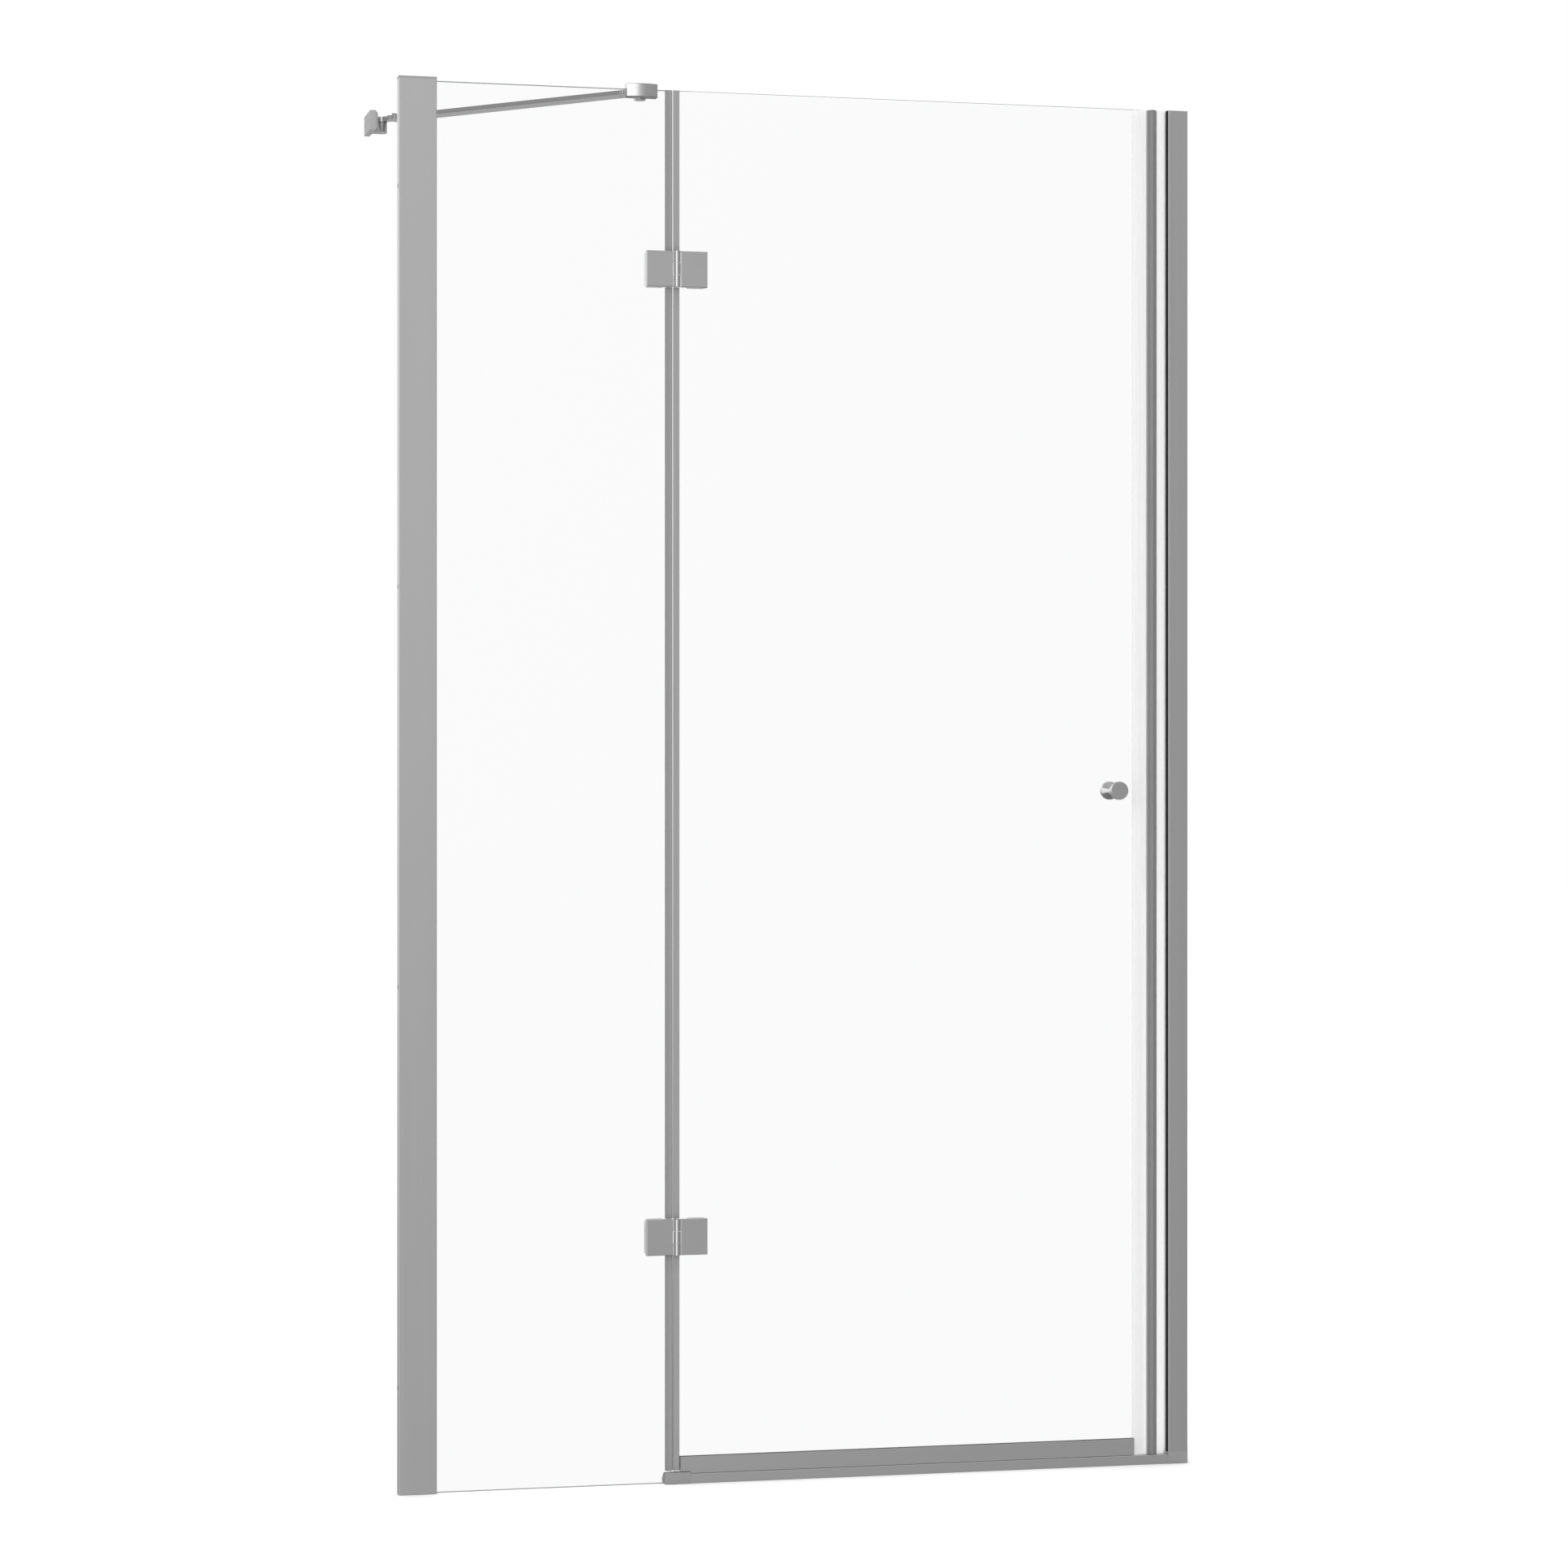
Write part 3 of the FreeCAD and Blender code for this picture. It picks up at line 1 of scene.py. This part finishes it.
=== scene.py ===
"""Studio scene of the pivot shower door: materials on the CAD nodes, soft light, floor and camera.

Everything is in metres in the row frame: X from the left wall to the right, Y into the shower, Z up.
"""
import json
import math

import bpy
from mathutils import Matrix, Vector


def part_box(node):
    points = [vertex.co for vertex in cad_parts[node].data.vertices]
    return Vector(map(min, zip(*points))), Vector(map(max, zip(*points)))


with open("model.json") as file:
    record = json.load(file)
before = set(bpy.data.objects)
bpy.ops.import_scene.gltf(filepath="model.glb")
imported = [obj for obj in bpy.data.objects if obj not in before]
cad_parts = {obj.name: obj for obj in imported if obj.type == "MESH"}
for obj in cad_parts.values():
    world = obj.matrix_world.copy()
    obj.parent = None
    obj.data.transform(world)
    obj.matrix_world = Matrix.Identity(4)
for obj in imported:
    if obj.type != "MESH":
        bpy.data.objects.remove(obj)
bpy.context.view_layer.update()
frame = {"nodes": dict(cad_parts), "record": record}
scene = bpy.context.scene

IMAGE_SIDE = 1932
FOCAL_PIXELS = 4900
SENSOR_WIDTH = 36.0
CAMERA_PLACE = (-0.768, -5.583, 1.0018)
CAMERA_TURN = math.radians(-13.377)

FLOOR_SIDE = 60.0
FLOOR_DROP = 0.0005
SKY_LIGHT = 1.0
DIFFUSE_EXTRA = 0.15

# What polished metal sees round it: degrees from straight in front, positive to the viewer's left, the tone
# level with the eye and the tone below it.
REFLECTED_ROOM = [
    (-180, 0.52, 0.42),
    (-174, 0.42, 0.42),
    (-150, 0.38, 0.38),
    (-105, 0.24, 0.24),
    (-58, 0.27, 0.27),
    (-19, 0.305, 0.33),
    (-12, 0.38, 0.385),
    (-8, 0.42, 0.37),
    (-3, 0.52, 0.46),
    (1, 0.70, 0.64),
    (6, 0.90, 0.90),
    (15, 1.08, 1.08),
    (32, 1.08, 1.08),
    (45, 0.50, 0.50),
    (76, 0.235, 0.235),
    (98, 0.27, 0.27),
    (108, 0.92, 0.92),
    (146, 0.92, 0.92),
    (152, 0.40, 0.40),
    (160, 0.60, 0.20),
    (165, 0.80, 0.26),
    (169, 0.76, 0.28),
    (172, 0.70, 0.34),
    (175, 0.70, 0.34),
    (180, 0.52, 0.42),
]
# Between these rises of a ray, the tone below gives way to the one level with the eye.
REFLECTED_DEPTH = (-0.16, 0.01)
# Between these slopes, up or down, the room gives way to the ceiling's tone.
REFLECTED_LEVEL = (0.26, 0.50)
REFLECTED_CEILING = 0.30
# How much brighter the room is straight up, and how much darker straight down.
REFLECTED_RISE = 0.55
# A ray that no surface has mirrored has a depth of 0, and any other at least 1.
MIRRORED_DEPTH = 0.5

WHOLE = (0.0, 1.0)
NOISE_MIDDLE = (0.25, 0.75)
FINE_DETAIL = 3.0
BROAD_DETAIL = 2.0

GLASS_IOR = 1.45
GLASS_TINT = (0.996, 1.0, 0.998)
FILM_STRETCH = (6.0, 6.0, 3.0)
FILM_ROUGHNESS = 0.004
# How squarely a face looks along Y to be the sheet's own, or along Z to take the edge's painted shade.
SHEET_FACING = 0.98
PAINTED_SHADE_EDGE_FACING = 0.5
# The dark tint of upward edges, and of the foot where asked, is painted shade.
PAINTED_SHADE_EDGE_TINT = (0.25, 0.265, 0.262)
EDGE_CLEARNESS = 0.2
EDGE_ROUGHNESS = 0.45

MILKY_STREAKS = (250.0, 250.0, 4.0)
MILKY_ROUGHNESS = (0.20, 0.32)
MILKY_BLEND = 0.3
MILKY_SLANT = (0.2, 1.0)
MILKY_ALPHA = (0.38, 0.56)
MILKY_STREAK_ALPHA = 0.04

PLASTIC_STREAKS = (900.0, 900.0, 4.0)
PLASTIC_RELIEF = 0.000004
# The paler right-hand band of the grey seal and of the door magnet is a painted highlight: the width of its
# blend, the plastic's streak tone and roughness, and the band's width on the magnet.
HIGHLIGHT_BLEND_WIDTH = 0.0008
PAINTED_HIGHLIGHT_STREAK_TONE = 0.025
PAINTED_HIGHLIGHT_ROUGHNESS = (0.30, 0.42)
MAGNET_HIGHLIGHT_WIDTH = 0.0016

FACED_TONES = (0.248, 0.272)
FACED_RELIEF = 0.000002
FACED_STREAK_ROUGHNESS = 0.08
# The metal skin's depth, what it adds to the plastic's tone, and the roughness of plastic and of skin.
SKIN_DEPTH = 0.0003
SKIN_EXTRA = 0.72
SKIN_ROUGHNESS = (0.30, 0.08)


def add_node(tree, kind, **settings):
    """A shader node of that kind, with its properties set."""
    node = tree.nodes.new(kind)
    for name, value in settings.items():
        setattr(node, name, value)
    return node


def feed(tree, node, **sources):
    """Links other nodes' outputs to the node's inputs of those names."""
    for socket, source in sources.items():
        tree.links.new(source, node.inputs[socket.replace("_", " ")])


def math_node(tree, operation, *values):
    """The output of a Math node whose inputs are numbers or other nodes' outputs."""
    node = add_node(tree, "ShaderNodeMath", operation=operation)
    for socket, value in zip(node.inputs, values):
        if isinstance(value, (int, float)):
            socket.default_value = value
        else:
            tree.links.new(value, socket)
    return node.outputs["Value"]


def blend(tree, factor, first, second):
    """The first value where the factor is 0 and the second where it is 1."""
    node = add_node(tree, "ShaderNodeMix", data_type="FLOAT")
    feed(tree, node, Factor=factor, A=first, B=second)
    return node.outputs["Result"]


def remap(tree, source, from_range, to_range, smooth=False):
    """The source moved from one range to another, and held at the ends."""
    node = add_node(tree, "ShaderNodeMapRange")
    if smooth:
        node.interpolation_type = "SMOOTHSTEP"
    node.inputs["From Min"].default_value = from_range[0]
    node.inputs["From Max"].default_value = from_range[1]
    node.inputs["To Min"].default_value = to_range[0]
    node.inputs["To Max"].default_value = to_range[1]
    feed(tree, node, Value=source)
    return node.outputs["Result"]


def colours(tree, source, dark, light):
    """A colour between two, by the source."""
    node = add_node(tree, "ShaderNodeValToRGB")
    node.color_ramp.elements[0].color = (*dark, 1.0)
    node.color_ramp.elements[1].color = (*light, 1.0)
    feed(tree, node, Fac=source)
    return node.outputs["Color"]


def grey(value):
    """The colour with that value in red, green and blue."""
    return (value, value, value)


def place_on(tree, kind):
    """The place that is shaded, in coordinates of that kind."""
    return add_node(tree, "ShaderNodeTexCoord").outputs[kind]


def axes(tree, vector):
    """The vector's X, Y and Z, by name."""
    node = add_node(tree, "ShaderNodeSeparateXYZ")
    feed(tree, node, Vector=vector)
    return node.outputs


def grain(tree, stretch, detail=FINE_DETAIL):
    """Noise from 0 to 1 in the row frame. stretch is how many spots a metre has along X, Y and Z."""
    mapping = add_node(tree, "ShaderNodeMapping")
    mapping.inputs["Scale"].default_value = stretch
    feed(tree, mapping, Vector=place_on(tree, "Object"))
    noise = add_node(tree, "ShaderNodeTexNoise")
    noise.inputs["Scale"].default_value = 1.0
    noise.inputs["Detail"].default_value = detail
    feed(tree, noise, Vector=mapping.outputs["Vector"])
    return remap(tree, noise.outputs["Fac"], NOISE_MIDDLE, WHOLE)


def relief(tree, shader, source, height):
    """Raises the surface by the source, up to that height in metres."""
    node = add_node(tree, "ShaderNodeBump")
    node.inputs["Distance"].default_value = height
    feed(tree, node, Height=source)
    feed(tree, shader, Normal=node.outputs["Normal"])


def new_material(name, **constants):
    """A node material, its node tree and its shader, with constants set on the shader's own sockets."""
    made = bpy.data.materials.new(name)
    made.use_nodes = True
    shader = made.node_tree.nodes["Principled BSDF"]
    for socket, value in constants.items():
        shader.inputs[socket.replace("_", " ")].default_value = value
    return made, made.node_tree, shader


def textured(name, fine, broad, tones, roughness, height, **constants):
    """A material whose colour and roughness follow a fine and a broad noise, and its relief the fine one."""
    made, tree, shader = new_material(name, **constants)
    fine_grain = grain(tree, fine)
    broad_grain = grain(tree, broad, detail=BROAD_DETAIL)
    both = math_node(tree, "ADD", fine_grain, broad_grain)
    half = math_node(tree, "MULTIPLY", both, 0.5)
    feed(
        tree,
        shader,
        Base_Color=colours(tree, half, *tones),
        Roughness=remap(tree, half, WHOLE, roughness),
    )
    relief(tree, shader, fine_grain, height)
    return made


def brushed_silver(name, fine, broad):
    """Anodised profile, brushed along the axis with the fewest spots."""
    return textured(
        name,
        fine=fine,
        broad=broad,
        tones=(grey(0.85), grey(0.89)),
        roughness=(0.16, 0.26),
        height=0.000002,
        Metallic=1.0,
    )


def satin_fitting(name, tones):
    """Fitting with a satin grey coat."""
    return textured(
        name,
        fine=(1500.0, 1500.0, 1500.0),
        broad=(60.0, 60.0, 60.0),
        tones=tones,
        roughness=(0.36, 0.48),
        height=0.000002,
        Specular_IOR_Level=0.5,
    )


def soft_pad(name, tones):
    """Pad or liner of soft plastic."""
    return textured(
        name,
        fine=(900.0, 900.0, 900.0),
        broad=(40.0, 40.0, 40.0),
        tones=tones,
        roughness=(0.45, 0.65),
        height=0.00001,
        Specular_IOR_Level=0.3,
    )


def glass_material(name, dark_foot):
    """Clear polished sheet with ground edges, with painted shade along the top, and along the foot if that
    shows.
    """
    made, tree, shader = new_material(name, IOR=GLASS_IOR)
    geometry = add_node(tree, "ShaderNodeNewGeometry")
    normal = axes(tree, geometry.outputs["True Normal"])
    facing = math_node(tree, "ABSOLUTE", normal["Y"])
    sheet = math_node(tree, "GREATER_THAN", facing, SHEET_FACING)
    upward = normal["Z"]
    steep = math_node(tree, "ABSOLUTE", upward) if dark_foot else upward
    shaded_edge = math_node(tree, "GREATER_THAN", steep, PAINTED_SHADE_EDGE_FACING)
    film = grain(tree, FILM_STRETCH)
    ground = remap(tree, sheet, WHOLE, (EDGE_ROUGHNESS, 0.0))
    feed(
        tree,
        shader,
        Base_Color=colours(tree, shaded_edge, GLASS_TINT, PAINTED_SHADE_EDGE_TINT),
        Transmission_Weight=remap(tree, sheet, WHOLE, (EDGE_CLEARNESS, 1.0)),
        Roughness=math_node(tree, "MULTIPLY_ADD", film, FILM_ROUGHNESS, ground),
    )
    path = add_node(tree, "ShaderNodeLightPath")
    lighting = math_node(tree, "MAXIMUM", path.outputs["Is Shadow Ray"], path.outputs["Is Diffuse Ray"])
    open_to_light = add_node(tree, "ShaderNodeBsdfTransparent")
    both = add_node(tree, "ShaderNodeMixShader")
    tree.links.new(lighting, both.inputs[0])
    tree.links.new(shader.outputs["BSDF"], both.inputs[1])
    tree.links.new(open_to_light.outputs["BSDF"], both.inputs[2])
    feed(tree, tree.nodes["Material Output"], Surface=both.outputs["Shader"])
    return made


def milky_seal():
    """Milky plastic: half see-through, denser where it is seen edge on."""
    made, tree, shader = new_material("clear_seal", Specular_IOR_Level=0.3)
    streaks = grain(tree, MILKY_STREAKS)
    slant = add_node(tree, "ShaderNodeLayerWeight")
    slant.inputs["Blend"].default_value = MILKY_BLEND
    milk = remap(tree, slant.outputs["Facing"], MILKY_SLANT, MILKY_ALPHA)
    feed(
        tree,
        shader,
        Base_Color=colours(tree, streaks, grey(0.84), grey(0.86)),
        Roughness=remap(tree, streaks, WHOLE, MILKY_ROUGHNESS),
        Alpha=math_node(tree, "MULTIPLY_ADD", streaks, MILKY_STREAK_ALPHA, milk),
    )
    relief(tree, shader, streaks, PLASTIC_RELIEF)
    return made


def highlight_painted_plastic(name, highlight_start, tones, **constants):
    """Grey plastic that turns paler at its right, past a given X: the paler part is a painted highlight."""
    made, tree, shader = new_material(name, **constants)
    streaks = grain(tree, PLASTIC_STREAKS)
    rightward = axes(tree, place_on(tree, "Object"))["X"]
    highlight_band = (highlight_start, highlight_start + HIGHLIGHT_BLEND_WIDTH)
    tone = remap(tree, rightward, highlight_band, tones, smooth=True)
    feed(
        tree,
        shader,
        Base_Color=math_node(tree, "MULTIPLY_ADD", streaks, PAINTED_HIGHLIGHT_STREAK_TONE, tone),
        Roughness=remap(tree, streaks, WHOLE, PAINTED_HIGHLIGHT_ROUGHNESS),
    )
    relief(tree, shader, streaks, PLASTIC_RELIEF)
    return made


def faced_seal():
    """Grey plastic with a polished metal skin on the flat face at its left."""
    made, tree, shader = new_material("faced_seal", Specular_IOR_Level=0.5)
    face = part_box("door_hinge_seal")[0][0]
    streaks = grain(tree, PLASTIC_STREAKS)
    rightward = axes(tree, place_on(tree, "Object"))["X"]
    skin = math_node(tree, "LESS_THAN", rightward, face + SKIN_DEPTH)
    plastic = remap(tree, streaks, WHOLE, FACED_TONES)
    gloss = remap(tree, skin, WHOLE, SKIN_ROUGHNESS)
    feed(
        tree,
        shader,
        Base_Color=math_node(tree, "MULTIPLY_ADD", skin, SKIN_EXTRA, plastic),
        Metallic=skin,
        Roughness=math_node(tree, "MULTIPLY_ADD", streaks, FACED_STREAK_ROUGHNESS, gloss),
    )
    relief(tree, shader, streaks, FACED_RELIEF)
    return made


def room_ring(tree, round_part, bearings, tones):
    """The room's tone all round at one level."""
    ramp = add_node(tree, "ShaderNodeValToRGB")
    feed(tree, ramp, Fac=round_part)
    stops = ramp.color_ramp.elements
    while len(stops) < len(bearings):
        stops.new(0.5)
    for stop, degrees, tone in zip(stops, bearings, tones):
        stop.position = (degrees + 180) / 360
        stop.color = (*grey(tone), 1.0)
    return ramp.outputs["Color"]


def reflected_room(tree):
    """The tone of the shaded room in a ray's direction."""
    ray = axes(tree, place_on(tree, "Generated"))
    leftward = math_node(tree, "MULTIPLY", ray["X"], -1.0)
    frontward = math_node(tree, "MULTIPLY", ray["Y"], -1.0)
    turn = math_node(tree, "ARCTAN2", leftward, frontward)
    round_part = remap(tree, turn, (-math.pi, math.pi), WHOLE)
    bearings, eye_tones, low_tones = zip(*REFLECTED_ROOM)
    low_ring = room_ring(tree, round_part, bearings, low_tones)
    eye_ring = room_ring(tree, round_part, bearings, eye_tones)
    ring = blend(tree, remap(tree, ray["Z"], REFLECTED_DEPTH, WHOLE), low_ring, eye_ring)
    slope = math_node(tree, "ABSOLUTE", ray["Z"])
    level = remap(tree, slope, REFLECTED_LEVEL, (1.0, 0.0), smooth=True)
    contrast = math_node(tree, "SUBTRACT", ring, REFLECTED_CEILING)
    walls = math_node(tree, "MULTIPLY_ADD", contrast, level, REFLECTED_CEILING)
    rise = math_node(tree, "MULTIPLY_ADD", ray["Z"], REFLECTED_RISE, 1.0)
    return math_node(tree, "MULTIPLY", walls, rise)


def studio_world():
    """White surroundings, with a shaded room that only polished surfaces reflect."""
    world = bpy.data.worlds.new("studio")
    world.use_nodes = True
    tree = world.node_tree
    background = tree.nodes["Background"]
    background.inputs["Color"].default_value = (*grey(1.0), 1.0)
    path = add_node(tree, "ShaderNodeLightPath")
    diffuse = path.outputs["Is Diffuse Ray"]
    reflected = math_node(tree, "GREATER_THAN", path.outputs["Glossy Depth"], MIRRORED_DEPTH)
    not_diffuse = math_node(tree, "SUBTRACT", 1.0, diffuse)
    mirrored = math_node(tree, "MULTIPLY", reflected, not_diffuse)
    sky = math_node(tree, "MULTIPLY_ADD", diffuse, DIFFUSE_EXTRA, SKY_LIGHT)
    feed(tree, background, Strength=blend(tree, mirrored, sky, reflected_room(tree)))
    scene.world = world


def studio_floor():
    """A pale floor just under the part, left out of what metal mirrors and glass lets through."""
    half = FLOOR_SIDE / 2
    corners = [(-half, -half, 0.0), (half, -half, 0.0), (half, half, 0.0), (-half, half, 0.0)]
    mesh = bpy.data.meshes.new("studio_floor")
    mesh.from_pydata(corners, [], [(0, 1, 2, 3)])
    floor = bpy.data.objects.new("studio_floor", mesh)
    floor.location.z = -FLOOR_DROP
    scene.collection.objects.link(floor)
    floor.visible_glossy = False
    floor.visible_transmission = False
    pale = textured(
        "pale_floor",
        fine=(40.0, 40.0, 40.0),
        broad=(2.0, 2.0, 2.0),
        tones=(grey(0.97), grey(0.98)),
        roughness=(0.85, 0.95),
        height=0.0001,
        Specular_IOR_Level=0.0,
    )
    mesh.materials.append(pale)


def soft_light(name, place, target, side, power):
    """A square light that shades the part but isn't seen or mirrored."""
    lamp = bpy.data.lights.new(name, "AREA")
    lamp.size = side
    lamp.energy = power
    light = bpy.data.objects.new(name, lamp)
    light.location = place
    aim = [there - here for here, there in zip(place, target)]
    turn = math.atan2(aim[0], -aim[1])
    tilt = math.atan2(math.hypot(aim[0], aim[1]), -aim[2])
    light.rotation_euler = (tilt, 0.0, turn + math.pi)
    light.visible_camera = False
    light.visible_glossy = False
    light.visible_transmission = False
    scene.collection.objects.link(light)


def photo_camera():
    """The camera that was fitted to the photograph. It looks level."""
    lens = bpy.data.cameras.new("photo_camera")
    lens.sensor_width = SENSOR_WIDTH
    lens.lens = SENSOR_WIDTH * FOCAL_PIXELS / IMAGE_SIDE
    camera = bpy.data.objects.new("photo_camera", lens)
    camera.location = CAMERA_PLACE
    camera.rotation_euler = (math.pi / 2, 0.0, CAMERA_TURN)
    scene.collection.objects.link(camera)
    scene.camera = camera


upright_silver = brushed_silver("anodised_upright", fine=(1400.0, 1400.0, 1.2), broad=(20.0, 20.0, 0.8))
lying_silver = brushed_silver("anodised_lying", fine=(1.2, 1400.0, 1400.0), broad=(0.8, 20.0, 20.0))
SLOT_MATERIALS = {
    "silver_profile": upright_silver,
    "silver_cap": textured(
        "silver_cap",
        fine=(1800.0, 1800.0, 1800.0),
        broad=(60.0, 60.0, 60.0),
        tones=(grey(0.245), grey(0.265)),
        roughness=(0.34, 0.46),
        height=0.000002,
        Specular_IOR_Level=0.4,
    ),
    "satin_fitting": satin_fitting("satin_fitting", tones=(grey(0.31), grey(0.34))),
    "clear_glass": glass_material("clear_glass", dark_foot=True),
    "clear_seal": milky_seal(),
    # The part right of the fixed pane's edge, the seal's nose, is painted paler: a painted highlight.
    "grey_seal": highlight_painted_plastic(
        "nosed_seal",
        highlight_start=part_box("fixed_glass")[1][0],
        tones=(0.215, 0.295),
        Specular_IOR_Level=0.5,
    ),
    "magnet_strip": textured(
        "dark_magnet",
        fine=(900.0, 900.0, 30.0),
        broad=(30.0, 30.0, 3.0),
        tones=(grey(0.19), grey(0.212)),
        roughness=(0.45, 0.60),
        height=0.00001,
        Specular_IOR_Level=0.3,
    ),
    "dark_rubber": textured(
        "dark_rubber",
        fine=(1200.0, 1200.0, 40.0),
        broad=(30.0, 30.0, 4.0),
        tones=(grey(0.010), grey(0.018)),
        roughness=(0.65, 0.85),
        height=0.00001,
        Specular_IOR_Level=0.2,
    ),
    "clear_gasket": soft_pad("clear_gasket", tones=(grey(0.70), grey(0.76))),
    "chrome_fitting": textured(
        "chrome_fitting",
        fine=(700.0, 700.0, 700.0),
        broad=(55.0, 55.0, 55.0),
        tones=(grey(0.86), grey(0.90)),
        roughness=(0.05, 0.13),
        height=0.0000005,
        Metallic=1.0,
    ),
    "steel": textured(
        "turned_steel",
        fine=(1500.0, 1500.0, 1500.0),
        broad=(150.0, 150.0, 150.0),
        tones=(grey(0.62), grey(0.72)),
        roughness=(0.22, 0.36),
        height=0.000003,
        Metallic=1.0,
    ),
    "bush": textured(
        "pale_bush",
        fine=(1200.0, 1200.0, 1200.0),
        broad=(100.0, 100.0, 100.0),
        tones=((0.74, 0.74, 0.72), (0.82, 0.82, 0.80)),
        roughness=(0.30, 0.42),
        height=0.000005,
    ),
}
# Nodes that differ from the others of their slot: profiles that lie along the floor, the pane whose foot
# is in a profile, the door's seal beside the hinges, the magnet with a painted highlight along its right
# edge, the pin in the bracket's slot, lightened as painted light against the slot's shade, the grey clamp
# liner and the grey gasket along the door's foot.
NODE_MATERIALS = {
    "threshold_bar": lying_silver,
    "door_drip_profile": lying_silver,
    "door_glass": glass_material("door_glass", dark_foot=False),
    "door_hinge_seal": faced_seal(),
    # The band along the magnet's right edge is painted paler: a painted highlight on its ridge.
    "door_magnet": highlight_painted_plastic(
        "highlit_magnet",
        highlight_start=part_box("door_magnet")[1][0] - MAGNET_HIGHLIGHT_WIDTH,
        tones=(0.18, 0.33),
        Specular_IOR_Level=0.3,
    ),
    # The pin's tone is lighter than the other satin fittings: painted light against the shade in the
    # bracket's slot.
    "brace_wall_pivot": satin_fitting("satin_pin", tones=(grey(0.46), grey(0.49))),
    "brace_clamp_liner": soft_pad("grey_liner", tones=(grey(0.16), grey(0.20))),
    "door_drip_gasket": textured(
        "grey_gasket",
        fine=(4.0, 900.0, 900.0),
        broad=(2.0, 40.0, 40.0),
        tones=(grey(0.14), grey(0.18)),
        roughness=(0.55, 0.70),
        height=0.00001,
        Specular_IOR_Level=0.3,
    ),
}

for subpart in frame["record"]["subparts"]:
    name = subpart["node"]
    chosen = NODE_MATERIALS.get(name, SLOT_MATERIALS[subpart["material_slot"]])
    for slot in frame["nodes"][name].material_slots:
        slot.material = chosen

studio_world()
studio_floor()
soft_light("key_light", place=(-2.6, -4.2, 3.4), target=(0.6, 0.0, 1.0), side=2.4, power=60.0)
photo_camera()
scene.view_settings.view_transform = "Standard"
